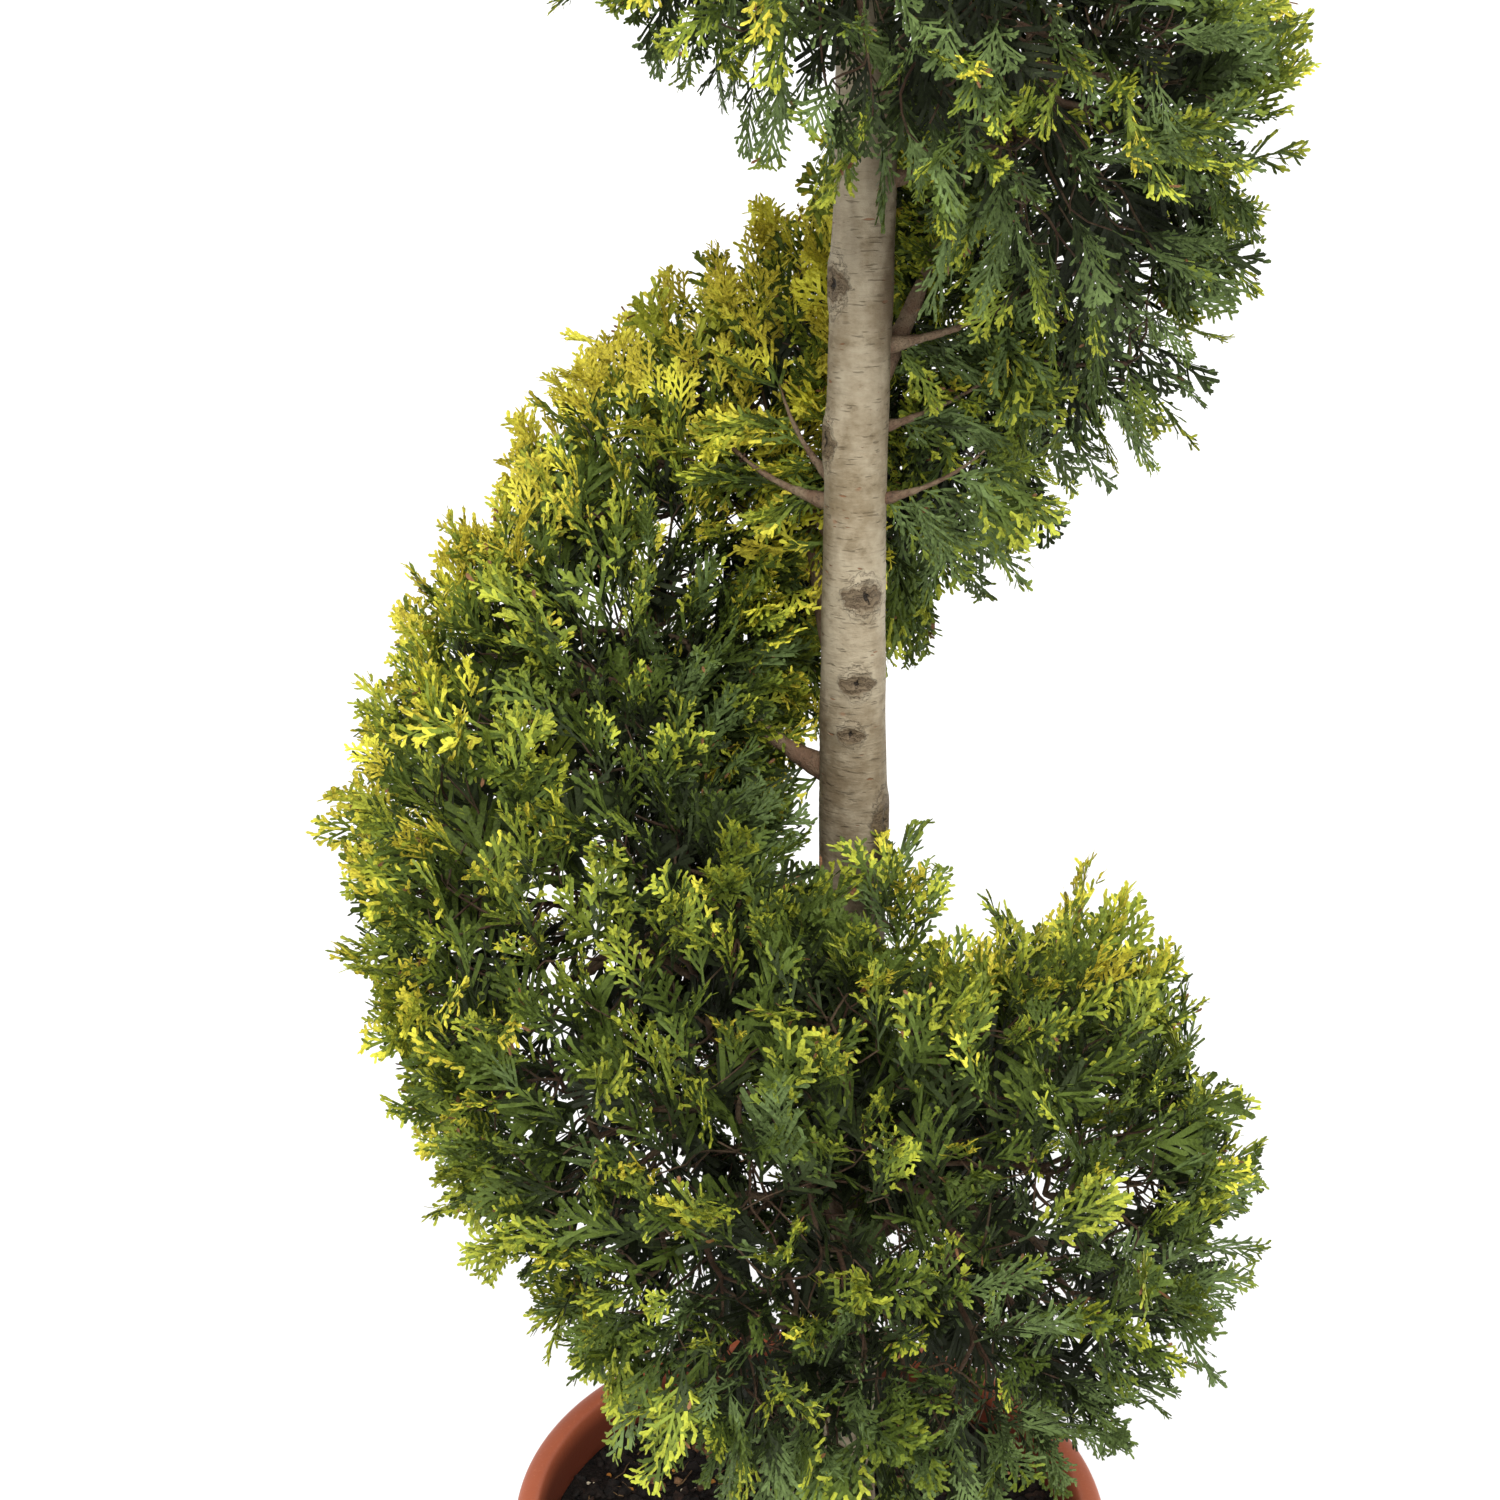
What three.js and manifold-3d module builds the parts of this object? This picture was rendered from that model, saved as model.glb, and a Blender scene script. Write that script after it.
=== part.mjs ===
// A golden cypress clipped as a spiral topiary, standing in a round nursery pot.
// Millimetres, +Z up. The origin is the centre of the pot's flat underside.
// The spiral starts low on the right (+X), passes the front (-Y), the left (-X) and the back (+Y),
// and climbs clockwise seen from above. A place on it is told in turns: 0 is right, 0.25 front,
// 0.5 left, 0.75 back, and each further turn adds 1. Heights on the plant are above the soil.
import * as THREE from "three";
import { mergeVertices } from "three/addons/utils/BufferGeometryUtils.js";
import Module from "manifold-3d";

const wasm = await Module();
wasm.setup();

// Driving dimensions
const potRimRadius = 180;
const potHeight = 300;
const potBaseRadius = 128;
const potWall = 4;
const potFloor = 5;
const rimBand = 38; // height of the thick band under the lip
const lipWidth = 12; // seen from above
const soilDepth = 30; // soil surface below the lip
const potSegments = 36;
const clearance = 0.3; // between pieces that touch

const trunkX = 18.5; // the tree stands a little off the pot's centre
const trunkRadius = 19.5; // above the flare
const trunkFlare = 7;
const trunkTop = 1405; // where the leader's tuft begins
const trunkReach = 1580; // height at which the taper would close
const tuftTop = 1575;

const spiralStart = -0.16; // turns
const spiralWaist = 1.44; // where the upper, smaller masses begin
const spiralEnd = 2.36;
const lowerMasses = 8;
const upperMasses = 4;
const massGap = 1.2; // from a mass's side to the plane that parts it from the next one

const coreDepth = 34; // of a mass's core below its outline
const sprayLength = 50; // how far a spray stands out of the core
const sprayRoot = 18; // how deep its foot is sunk
const sprayWidth = 50;
const sprayThickness = 4.5;
const sprayPatch = 5080; // square millimetres of core to each spray
const boughShare = 0.26; // of the crown's width that a bough crosses before it enters a mass
const limbClearance = 13; // from a bough's middle to the nearest spray
const trunkClearance = 4; // from the trunk to the nearest spray

// The ribbon by turn: the height of its middle, how far its outline stands above and below that,
// and how much its outer side is raised for each millimetre away from its middle.
const ribbonRows = [
  [-0.16, 262, 98, 88, -0.35],
  [0, 288, 134, 125, -0.3],
  [0.25, 320, 172, 182, -0.25],
  [0.5, 474, 168, 208, 0],
  [0.75, 695, 146, 192, 0.15],
  [1, 895, 130, 170, 0.3],
  [1.25, 996, 112, 150, 0.2],
  [1.5, 1052, 98, 156, 0],
  [2, 1238, 78, 94, 0.1],
  [2.36, 1345, 58, 66, 0.1],
];
// The crown by height: how far its outline stands from the trunk's axis.
const crownRows = [
  [150, 205],
  [320, 258],
  [460, 286],
  [600, 268],
  [800, 221],
  [950, 174],
  [1250, 108],
  [1400, 74],
  [1560, 44],
];

const soilTop = potHeight - soilDepth;
const goldenShare = 0.6180339887;
const plasticShare = 0.7548776662; // parts the seeds as the golden share parts the numbers
const turnAngle = 2 * Math.PI;

// Materials
const paint = (color, roughness) =>
  new THREE.MeshStandardMaterial({ color, roughness, metalness: 0 });
const terracotta = paint(0xb4603c, 0.6);
const compost = paint(0x2e2118, 0.95);
const bark = paint(0x9c8f78, 0.75);
const youngBark = paint(0x6b5140, 0.8);
const greens = [paint(0x4c5a24, 0.8), paint(0x5d6a2a, 0.8), paint(0x6f7a2e, 0.8)];

// The rule of the spiral, which every limb and mass follows

function smoothRows(rows) {
  const keys = rows.map((row) => row[0]);
  const values = rows.flatMap((row) => row.slice(1));
  return new THREE.CubicInterpolant(keys, values, rows[0].length - 1);
}
const ribbon = smoothRows(ribbonRows);
const crown = smoothRows(crownRows);

function climb(turn) {
  return ribbon.evaluate(turn)[0];
}

function reach(height) {
  return crown.evaluate(height)[0];
}

function trunkCentre(height) {
  return new THREE.Vector3(
    trunkX + 1.2 * Math.cos(height / 56 - 8.3),
    2 * Math.sin(height / 210),
    soilTop + height,
  );
}

function trunkRadiusAt(height) {
  const taper = 1 - Math.pow(Math.max(height, 0) / trunkReach, 2.4);
  return trunkRadius * taper + trunkFlare * Math.exp(-height / 32);
}

// A point by its turn, its distance from the spiral's axis and its height above the soil.
function spiralPoint(turn, radius, height) {
  const angle = -turnAngle * turn;
  return new THREE.Vector3(
    trunkX + radius * Math.cos(angle),
    radius * Math.sin(angle),
    soilTop + height,
  );
}

// An even spread of numbers from 0 to 1, the same for the same seed.
function spread(index, seed) {
  const value = index * goldenShare + seed * plasticShare;
  return value - Math.floor(value);
}

// Solids from three.js geometry, and back

function solid(geometry) {
  const bare = geometry.index ? geometry.toNonIndexed() : geometry.clone();
  bare.deleteAttribute("normal");
  bare.deleteAttribute("uv");
  const merged = mergeVertices(bare, 1e-4);
  const triVerts = new Uint32Array(merged.index.array);
  const build = () =>
    new wasm.Manifold(
      new wasm.Mesh({
        numProp: 3,
        vertProperties: new Float32Array(merged.attributes.position.array),
        triVerts,
      }),
    );
  const made = build();
  if (made.volume() > 0) return made;
  for (let i = 0; i < triVerts.length; i += 3) {
    [triVerts[i + 1], triVerts[i + 2]] = [triVerts[i + 2], triVerts[i + 1]];
  }
  return build();
}

function meshOf(manifold, name, material) {
  const data = manifold.getMesh();
  const positions = new Float32Array(data.numVert * 3);
  for (let i = 0; i < data.numVert; i++) {
    for (let axis = 0; axis < 3; axis++) {
      positions[3 * i + axis] = data.vertProperties[data.numProp * i + axis];
    }
  }
  const geometry = new THREE.BufferGeometry();
  geometry.setAttribute("position", new THREE.BufferAttribute(positions, 3));
  geometry.setIndex(new THREE.BufferAttribute(new Uint32Array(data.triVerts), 1));
  geometry.computeVertexNormals();
  const mesh = new THREE.Mesh(geometry, material);
  mesh.name = name;
  return mesh;
}

// The largest body of a solid: what cutting leaves loose is dropped.
function largest(manifold) {
  const bodies = manifold.decompose();
  return bodies.reduce((best, body) => (body.volume() > best.volume() ? body : best));
}

// A closed tube laid out by place(share along, angle, share out from the middle).
function laidTube(sides, steps, place) {
  const geometry = new THREE.CylinderGeometry(1, 1, 1, sides, steps);
  const position = geometry.attributes.position;
  for (let i = 0; i < position.count; i++) {
    const x = position.getX(i);
    const z = position.getZ(i);
    const spot = place(position.getY(i) + 0.5, Math.atan2(z, x), Math.hypot(x, z));
    position.setXYZ(i, spot.x, spot.y, spot.z);
  }
  return solid(geometry);
}

// A limb along a curve that lies in one upright plane, whose level side direction is given.
function limb(curve, side, startRadius, endRadius, sides, steps) {
  return laidTube(sides, steps, (along, angle, out) => {
    const tangent = curve.getTangent(along);
    const rise = new THREE.Vector3().crossVectors(tangent, side);
    const radius = out * THREE.MathUtils.lerp(startRadius, endRadius, along);
    return curve
      .getPoint(along)
      .addScaledVector(side, radius * Math.cos(angle))
      .addScaledVector(rise, radius * Math.sin(angle));
  });
}

// Pot and soil

// Inner wall radius at a height, from the floor to the soil surface.
function potInside(z) {
  const share = (z - potFloor) / (soilTop - potFloor);
  return THREE.MathUtils.lerp(potBaseRadius - potWall, potRimRadius - lipWidth - 3, share);
}

function lathe(points, segments) {
  const outline = points.map(([r, z]) => new THREE.Vector2(r, z));
  const geometry = new THREE.LatheGeometry(outline, segments);
  geometry.rotateX(Math.PI / 2);
  return solid(geometry);
}

function makePot() {
  const bandFoot = potHeight - rimBand;
  const bandRadius = potRimRadius - 5;
  const lipInner = potRimRadius - lipWidth;
  const wallTop = potInside(bandFoot) + potWall;
  const profile = [
    [0, 0],
    [potBaseRadius - 3, 0],
    [potBaseRadius, 3],
    [wallTop, bandFoot - 6],
    [bandRadius, bandFoot],
    [bandRadius + 1, potHeight - 16],
    [potRimRadius, potHeight - 11],
    [potRimRadius, potHeight - 4],
    [potRimRadius - 3, potHeight - 0.8],
    [potRimRadius - lipWidth / 2, potHeight],
    [lipInner + 1.5, potHeight - 1.5],
    [lipInner, potHeight - 5],
    [potInside(soilTop), soilTop],
    [potInside(potFloor), potFloor],
    [0, potFloor],
  ];
  return lathe(profile, potSegments);
}

function makeSoil() {
  const stones = { count: 8, size: 9, nearest: 70, furthest: 148 };
  const low = potFloor + clearance;
  const edge = soilTop - 3;
  const profile = [
    [0, low],
    [potInside(potFloor) - clearance, low],
    [potInside(edge) - clearance, edge],
    [120, soilTop - 1.5],
    [46, soilTop],
    [0, soilTop],
  ];
  let made = lathe(profile, potSegments);
  for (let i = 0; i < stones.count; i++) {
    const size = stones.size * (0.7 + 0.8 * spread(i, 3));
    const radius = THREE.MathUtils.lerp(stones.nearest, stones.furthest, spread(i, 5));
    const angle = turnAngle * (i / stones.count + 0.05 * spread(i, 7));
    const stone = new THREE.IcosahedronGeometry(size, 0);
    stone.rotateX(angle);
    stone.scale(1.3, 1, 0.7);
    stone.translate(radius * Math.cos(angle), radius * Math.sin(angle), soilTop - 1);
    made = made.add(solid(stone));
  }
  return largest(made);
}

// Trunk

// The trunk, or with extra millimetres a longer and thicker one that cuts the boughs clear of it.
function makeTrunk(extra) {
  const sides = 12;
  const steps = 16;
  const foot = extra > 0 ? -10 : clearance;
  const top = trunkTop + (extra > 0 ? 10 : 0);
  return laidTube(sides, steps, (along, angle, out) => {
    const height = foot + (top - foot) * Math.pow(along, 1.4);
    const radius = out * (trunkRadiusAt(height) + extra);
    const spot = trunkCentre(height);
    spot.x += radius * Math.cos(angle);
    spot.y += radius * Math.sin(angle);
    return spot;
  });
}

// Healed scars where boughs were cut away, on the side that the spiral leaves bare.
function makeKnot(turn, height) {
  const size = { along: 7, across: 10, proud: 2.4 };
  const radius = trunkRadiusAt(height);
  const angle = -turnAngle * turn;
  const geometry = new THREE.CylinderGeometry(0.55, 1, 1, 8, 1);
  geometry.rotateX(Math.PI / 2);
  geometry.scale(size.across * (radius / trunkRadius), size.along, 8);
  geometry.translate(0, 0, radius + size.proud - 4);
  const outward = new THREE.Vector3(Math.cos(angle), Math.sin(angle), 0);
  const up = new THREE.Vector3(0, 0, 1);
  const basis = new THREE.Matrix4().makeBasis(
    new THREE.Vector3().crossVectors(up, outward),
    up,
    outward,
  );
  geometry.applyMatrix4(basis);
  const centre = trunkCentre(height);
  geometry.translate(centre.x, centre.y, centre.z);
  return solid(geometry);
}

// The scars seen from the front, by turn and height, and then a rule for the ones higher up.
const frontKnots = [
  [0.39, 781],
  [0.43, 704],
  [0.21, 617],
  [0.24, 570],
  [0.27, 541],
  [0.11, 495],
];

function allKnots() {
  const knots = [...frontKnots];
  for (let turn = 1.05; turn < spiralEnd - 0.7; turn += 0.17) {
    const gapMiddle = (climb(turn) + climb(turn + 1)) / 2;
    knots.push([turn, gapMiddle - 30 + 60 * spread(knots.length, 2)]);
  }
  return knots;
}

// Masses of foliage

const massBounds = [];
for (let i = 0; i <= lowerMasses; i++) {
  massBounds.push(spiralStart + ((spiralWaist - spiralStart) * i) / lowerMasses);
}
for (let i = 1; i <= upperMasses; i++) {
  massBounds.push(spiralWaist + ((spiralEnd - spiralWaist) * i) / upperMasses);
}

// Sprays on small masses are smaller.
function sprayScale(turn) {
  return THREE.MathUtils.clamp(0.45 + reach(climb(turn)) / 500, 0.55, 1);
}

// The ribbon rounds off towards its two ends.
function endTaper(turn) {
  const fromEnd = Math.min(turn - spiralStart, spiralEnd - turn);
  return THREE.MathUtils.lerp(0.62, 1, THREE.MathUtils.smoothstep(fromEnd, 0, 0.16));
}

// The section of a mass's core at a turn: its middle and its half sizes.
function coreSection(turn) {
  const [height, above, below, slope] = ribbon.evaluate(turn);
  const depth = coreDepth * sprayScale(turn);
  const inner = reach(height) * boughShare + 8;
  const outer = reach(height) - depth;
  const taper = endTaper(turn);
  return {
    height,
    slope,
    radius: (inner + outer) / 2,
    wide: ((outer - inner) / 2) * taper,
    up: (above - depth) * taper,
    down: (below - depth) * taper,
  };
}

// A point of a section, by the angle round it: 0 is outermost and a quarter turn is uppermost.
function coreSpot(turn, angle, out) {
  const s = coreSection(turn);
  const squared = (value) => Math.sign(value) * Math.pow(Math.abs(value), 0.8);
  const rise = squared(Math.sin(angle)) * (Math.sin(angle) > 0 ? s.up : s.down);
  const across = out * s.wide * squared(Math.cos(angle));
  const height = s.height + out * rise + s.slope * across;
  const narrowing = reach(height) / reach(s.height);
  return spiralPoint(turn, (s.radius + across) * narrowing, height);
}

function outwardAt(turn, angle) {
  const s = coreSection(turn);
  const tall = Math.sin(angle) > 0 ? s.up : s.down;
  const away = Math.cos(angle) / s.wide;
  const rise = Math.sin(angle) / tall;
  const level = -turnAngle * turn;
  return new THREE.Vector3(
    away * Math.cos(level),
    away * Math.sin(level),
    rise,
  ).normalize();
}

// A spray of scale leaves as one toothed blade, given as shares of its length and width.
const sprayOutline = [
  [0, 0],
  [0.4, -0.42],
  [0.5, -0.2],
  [0.78, -0.44],
  [0.8, -0.15],
  [1, 0.02],
  [0.88, 0.4],
  [0.62, 0.2],
  [0.5, 0.46],
];

function makeSpray(root, along, across, length, width, thickness) {
  const normal = new THREE.Vector3().crossVectors(along, across).normalize();
  const points = sprayOutline.map(([share, side]) =>
    root
      .clone()
      .addScaledVector(along, share * length)
      .addScaledVector(across, side * width),
  );
  const middle = root.clone().addScaledVector(along, 0.5 * length);
  points.push(middle.clone().addScaledVector(normal, thickness / 2));
  points.push(middle.clone().addScaledVector(normal, -thickness / 2));
  const count = sprayOutline.length;
  const faces = [];
  for (let i = 0; i < count; i++) {
    const next = (i + 1) % count;
    faces.push(i, next, count, next, i, count + 1);
  }
  const geometry = new THREE.BufferGeometry().setFromPoints(points);
  geometry.setIndex(faces);
  return { geometry, points };
}

// Boughs

function makeBough(turn, endRadius, thick, drop) {
  const middle = climb(turn);
  const rootHeight = middle - drop * ribbon.evaluate(turn)[2];
  const root = trunkCentre(rootHeight);
  const end = spiralPoint(turn, endRadius, middle - 4);
  const bend = spiralPoint(turn, endRadius * 0.6, rootHeight + 0.3 * (middle - rootHeight));
  const curve = new THREE.QuadraticBezierCurve3(root, bend, end);
  const level = -turnAngle * turn;
  const side = new THREE.Vector3(-Math.sin(level), Math.cos(level), 0);
  const tip = thick * 0.72;
  const tube = limb(curve, side, thick * 1.25, tip, 6, 4);
  return { tube, curve, side, tip, end, direction: curve.getTangent(1) };
}

// Where the boughs of a mass stand across it, and how far below its middle each leaves the trunk.
const pairOfBoughs = [
  { share: 0.27, drop: 0.52 },
  { share: 0.73, drop: 0.16 },
];
const singleBough = [{ share: 0.5, drop: 0.36 }];

// The stem that carries a mass on from its bough's tip into the core.
function makeStem(bough, length) {
  const from = bough.end.clone().addScaledVector(bough.direction, clearance);
  const to = from.clone().addScaledVector(bough.direction, length);
  const line = new THREE.LineCurve3(from, to);
  return limb(line, bough.side, bough.tip, bough.tip * 0.8, 6, 1);
}

function turnOf(point) {
  return -Math.atan2(point.y, point.x - trunkX) / turnAngle;
}

// True where a point stays in the wedge between two turns, by a margin in millimetres.
function inWedge(point, from, to, margin) {
  const middle = (from + to) / 2;
  const radius = Math.hypot(point.x - trunkX, point.y);
  let off = turnOf(point) - middle;
  off -= Math.round(off);
  return Math.abs(off) < (to - from) / 2 - margin / (turnAngle * radius);
}

function clearOfTrunk(point, margin) {
  const height = point.z - soilTop;
  const centre = trunkCentre(height);
  const away = Math.hypot(point.x - centre.x, point.y - centre.y);
  return height > trunkTop || away > trunkRadiusAt(height) + margin;
}

function clearOfBoughs(point, boughs, margin) {
  return boughs.every((bough) =>
    bough.curve.getPoints(8).every((spot) => spot.distanceTo(point) > margin),
  );
}

// Which way a spray grows from a place on the core, and which way its blade is spread.
function sprayFrame(turn, angle, lean, roll) {
  const level = -turnAngle * turn;
  const sideways = new THREE.Vector3(Math.sin(level), -Math.cos(level), 0);
  const along = outwardAt(turn, angle).addScaledVector(sideways, lean);
  along.z += 0.18;
  along.normalize();
  const flat = new THREE.Vector3().crossVectors(along, sideways).normalize();
  const across = flat.applyAxisAngle(along, roll);
  return { along, across };
}

// Millimetres along the spiral, at a section's middle, as a share of a turn.
function turnShare(length, section) {
  return length / (turnAngle * section.radius);
}

function makeMass(index, from, to, boughs) {
  const first = index === 1;
  const last = index === massBounds.length - 1;
  const s = coreSection((from + to) / 2);
  const lowEnd = first ? from - turnShare(55, s) : from; // the ribbon's own ends are free
  const highEnd = last ? to + turnShare(30, s) : to;
  const fits = (points) =>
    points.every(
      (point) =>
        inWedge(point, lowEnd, highEnd, massGap) &&
        point.z < soilTop + trunkTop - massGap &&
        clearOfTrunk(point, trunkClearance) &&
        clearOfBoughs(point, boughs, limbClearance),
    );
  const inset = turnShare(massGap, s) * 1.7; // the ribbon is shorter on its inner side
  const core = laidTube(9, 4, (along, angle, out) =>
    coreSpot(THREE.MathUtils.lerp(from + inset, to - inset, along), angle, out),
  );
  const parts = [core];
  boughs.forEach((bough) => parts.push(makeStem(bough, 34 * sprayScale(from))));

  // A spray is turned about its own length until it fits, or left out.
  const grow = (i, turn, out, lean) => {
    const angle = turnAngle * spread(i, index);
    const scale = sprayScale(turn) * (0.85 + 0.3 * spread(i, index + 31));
    const tries = 4;
    for (let attempt = 0; attempt < tries; attempt++) {
      const roll = Math.PI * (spread(i, index + 53) + attempt / tries);
      const { along, across } = sprayFrame(turn, angle, lean, roll);
      const root = coreSpot(turn, angle, out).addScaledVector(along, -sprayRoot * scale);
      const long = (sprayLength + sprayRoot) * scale;
      const wide = sprayWidth * scale;
      const made = makeSpray(root, along, across, long, wide, sprayThickness * scale);
      if (fits(made.points)) {
        parts.push(solid(made.geometry));
        return;
      }
    }
  };
  const length = Math.hypot((to - from) * turnAngle * s.radius, climb(to) - climb(from));
  const area = length * 4 * (s.wide + (s.up + s.down) / 2);
  const count = Math.round(area / (sprayPatch * sprayScale(from) ** 2));
  for (let i = 0; i < count; i++) {
    const turn = THREE.MathUtils.lerp(from, to, 0.04 + (0.92 * (i + 0.5)) / count);
    grow(i, turn, 1, 0.7 * (spread(i, index + 17) - 0.5));
  }
  const endCount = first ? 12 : last ? 6 : 0;
  const endTurn = first ? from + 2 * inset : to - 2 * inset;
  for (let i = 0; i < endCount; i++) {
    grow(i, endTurn, Math.sqrt((i + 0.5) / endCount) * 0.8, first ? -2 : 2);
  }
  return largest(wasm.Manifold.union(parts));
}

// The tuft round the leader's tip, which closes the spiral.
function makeTuft() {
  const waist = { radius: 36, height: 48 };
  const sprays = { count: 34, long: 50, wide: 32, thick: 3.4, sunk: 6 };
  const foot = trunkTop + clearance;
  const coreTop = tuftTop - 34;
  const profile = [
    [0, foot],
    [trunkRadiusAt(foot), foot],
    [waist.radius * 0.7, foot + 0.3 * waist.height],
    [waist.radius, foot + waist.height],
    [waist.radius * 0.6, (foot + waist.height + coreTop) / 2],
    [0, coreTop],
  ];
  const core = profile.map(([r, height]) => new THREE.Vector2(r, soilTop + height));
  const shape = new THREE.LatheGeometry(core, 9);
  shape.rotateX(Math.PI / 2);
  const axis = trunkCentre(foot);
  shape.translate(axis.x, axis.y, 0);
  const parts = [solid(shape)];
  for (let i = 0; i < sprays.count; i++) {
    const share = (i + 0.5) / sprays.count;
    const height = THREE.MathUtils.lerp(foot + 22, coreTop - 14, share);
    const level = turnAngle * spread(i, 1);
    const away = new THREE.Vector3(Math.cos(level), Math.sin(level), 0);
    const root = axis.clone().addScaledVector(away, waist.radius * 0.5 * (1 - share));
    root.z = soilTop + height - sprays.sunk;
    const along = away.clone().setZ(0.3 + 1.5 * share * share).normalize();
    const length = Math.min(sprays.long, (soilTop + tuftTop - root.z) / along.z);
    const across = new THREE.Vector3(-along.y, along.x, 0).normalize();
    across.applyAxisAngle(along, Math.PI * spread(i, 8));
    const made = makeSpray(root, along, across, length, sprays.wide, sprays.thick);
    const above = made.points.every((point) => point.z - soilTop > trunkTop + massGap);
    if (above) parts.push(solid(made.geometry));
  }
  return largest(wasm.Manifold.union(parts));
}

// The whole plant in its pot

const topiary = new THREE.Group();
topiary.name = "spiral_topiary";
topiary.add(meshOf(makePot(), "pot", terracotta));
topiary.add(meshOf(makeSoil(), "soil", compost));

const fatTrunk = makeTrunk(clearance);
const knots = allKnots().map(([turn, height]) => makeKnot(turn, height));
const trunk = largest(wasm.Manifold.union([makeTrunk(0), ...knots]));
topiary.add(meshOf(trunk, "trunk", bark));

const label = (number) => String(number).padStart(2, "0");
let boughCount = 0;
for (let i = 0; i + 1 < massBounds.length; i++) {
  const from = massBounds[i];
  const to = massBounds[i + 1];
  const limbs = i < lowerMasses ? pairOfBoughs : singleBough;
  const boughs = limbs.map(({ share, drop }) => {
    const turn = from + (to - from) * share;
    const fullReach = reach(climb(turn));
    return makeBough(turn, fullReach * boughShare, 2.4 + fullReach / 85, drop);
  });
  boughs.forEach((bough) => {
    boughCount += 1;
    const cut = largest(bough.tube.subtract(fatTrunk));
    topiary.add(meshOf(cut, "bough_" + label(boughCount), youngBark));
  });
  const mass = makeMass(i + 1, from, to, boughs);
  topiary.add(meshOf(mass, "foliage_" + label(i + 1), greens[i % greens.length]));
}
topiary.add(meshOf(makeTuft(), "foliage_tip", greens[2]));

export default topiary;
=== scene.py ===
# A golden cypress clipped as a rising spiral round a bare trunk, in a round nursery pot.
# The plant's rule is worked out in millimetres, with heights above the soil, and each mesh is
# made in metres. A place on the spiral is told in turns: 0 right, 0.25 front, 0.5 left, 0.75 back.
from math import cos, hypot, pi, radians, sin
import bpy
import numpy as np
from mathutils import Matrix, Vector


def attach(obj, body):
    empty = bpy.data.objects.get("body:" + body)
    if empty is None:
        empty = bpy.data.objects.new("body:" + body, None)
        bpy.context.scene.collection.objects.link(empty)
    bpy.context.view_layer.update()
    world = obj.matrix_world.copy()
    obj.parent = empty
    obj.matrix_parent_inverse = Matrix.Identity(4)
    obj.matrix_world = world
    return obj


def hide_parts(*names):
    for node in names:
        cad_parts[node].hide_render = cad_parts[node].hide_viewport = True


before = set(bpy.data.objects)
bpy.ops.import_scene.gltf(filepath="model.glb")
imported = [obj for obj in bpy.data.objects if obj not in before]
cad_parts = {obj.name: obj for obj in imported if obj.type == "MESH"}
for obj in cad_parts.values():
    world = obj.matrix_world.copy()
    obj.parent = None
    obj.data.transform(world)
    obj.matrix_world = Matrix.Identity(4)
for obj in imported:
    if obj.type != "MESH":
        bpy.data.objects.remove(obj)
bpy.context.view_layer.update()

mm = 0.001
nodeNames = sorted(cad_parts)
massNodes = [name for name in nodeNames if name.startswith("foliage")]
boughNodes = [name for name in nodeNames if name.startswith("bough")]


# Camera, lamps and air

camera = {"lens": 57.6, "sensor": 36, "place": (-0.037, -1.2046, 1.2889), "tilt": 68}
studio = {  # horizon and zenith are the air's strengths, and fade is the heights between which it dims
    "floorSize": 80, "floorColor": (0.58, 0.58, 0.58), "floorGlow": 0.52,
    "horizon": 1.01, "zenith": 0.36, "fade": (0.25, 0.6),
}
lamps = {  # strength, softness in degrees, turn round the pot and height, in degrees
    "key": {"strength": 2.85, "softness": 34, "turn": -8, "height": 50, "color": (1, 0.985, 0.95)},
    "fill": {"strength": 1.05, "softness": 70, "turn": 34, "height": 22, "color": (0.97, 0.98, 1)},
}


def makeCamera():
    bpy.ops.object.camera_add(location=camera["place"], rotation=(radians(camera["tilt"]), 0, 0))
    made = bpy.context.object
    made.data.lens = camera["lens"]
    made.data.sensor_width = camera["sensor"]
    bpy.context.scene.camera = made


def makeLamps():
    for name, lamp in lamps.items():
        bpy.ops.object.light_add(type="SUN")
        made = bpy.context.object
        made.name = name
        made.data.energy = lamp["strength"]
        made.data.angle = radians(lamp["softness"])
        made.data.color = lamp["color"]
        made.rotation_euler = (radians(90 - lamp["height"]), 0, radians(lamp["turn"]))
    bpy.context.scene.view_settings.view_transform = "Standard"


# White air round the horizon, so that the floor runs into it, and dimmer air overhead.
def makeAir():
    world = bpy.data.worlds.new("studioAir")
    world.use_nodes = True
    nodes, links = world.node_tree.nodes, world.node_tree.links
    place = nodes.new("ShaderNodeTexCoord")
    parts = nodes.new("ShaderNodeSeparateXYZ")
    ramp = nodes.new("ShaderNodeMapRange")
    ramp.inputs["From Min"].default_value, ramp.inputs["From Max"].default_value = studio["fade"]
    ramp.inputs["To Min"].default_value = studio["horizon"]
    ramp.inputs["To Max"].default_value = studio["zenith"]
    links.new(place.outputs["Generated"], parts.inputs[0])
    links.new(parts.outputs["Z"], ramp.inputs["Value"])
    links.new(ramp.outputs[0], nodes["Background"].inputs["Strength"])
    nodes["Background"].inputs["Color"].default_value = (1, 1, 1, 1)
    bpy.context.scene.world = world


# Materials

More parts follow.
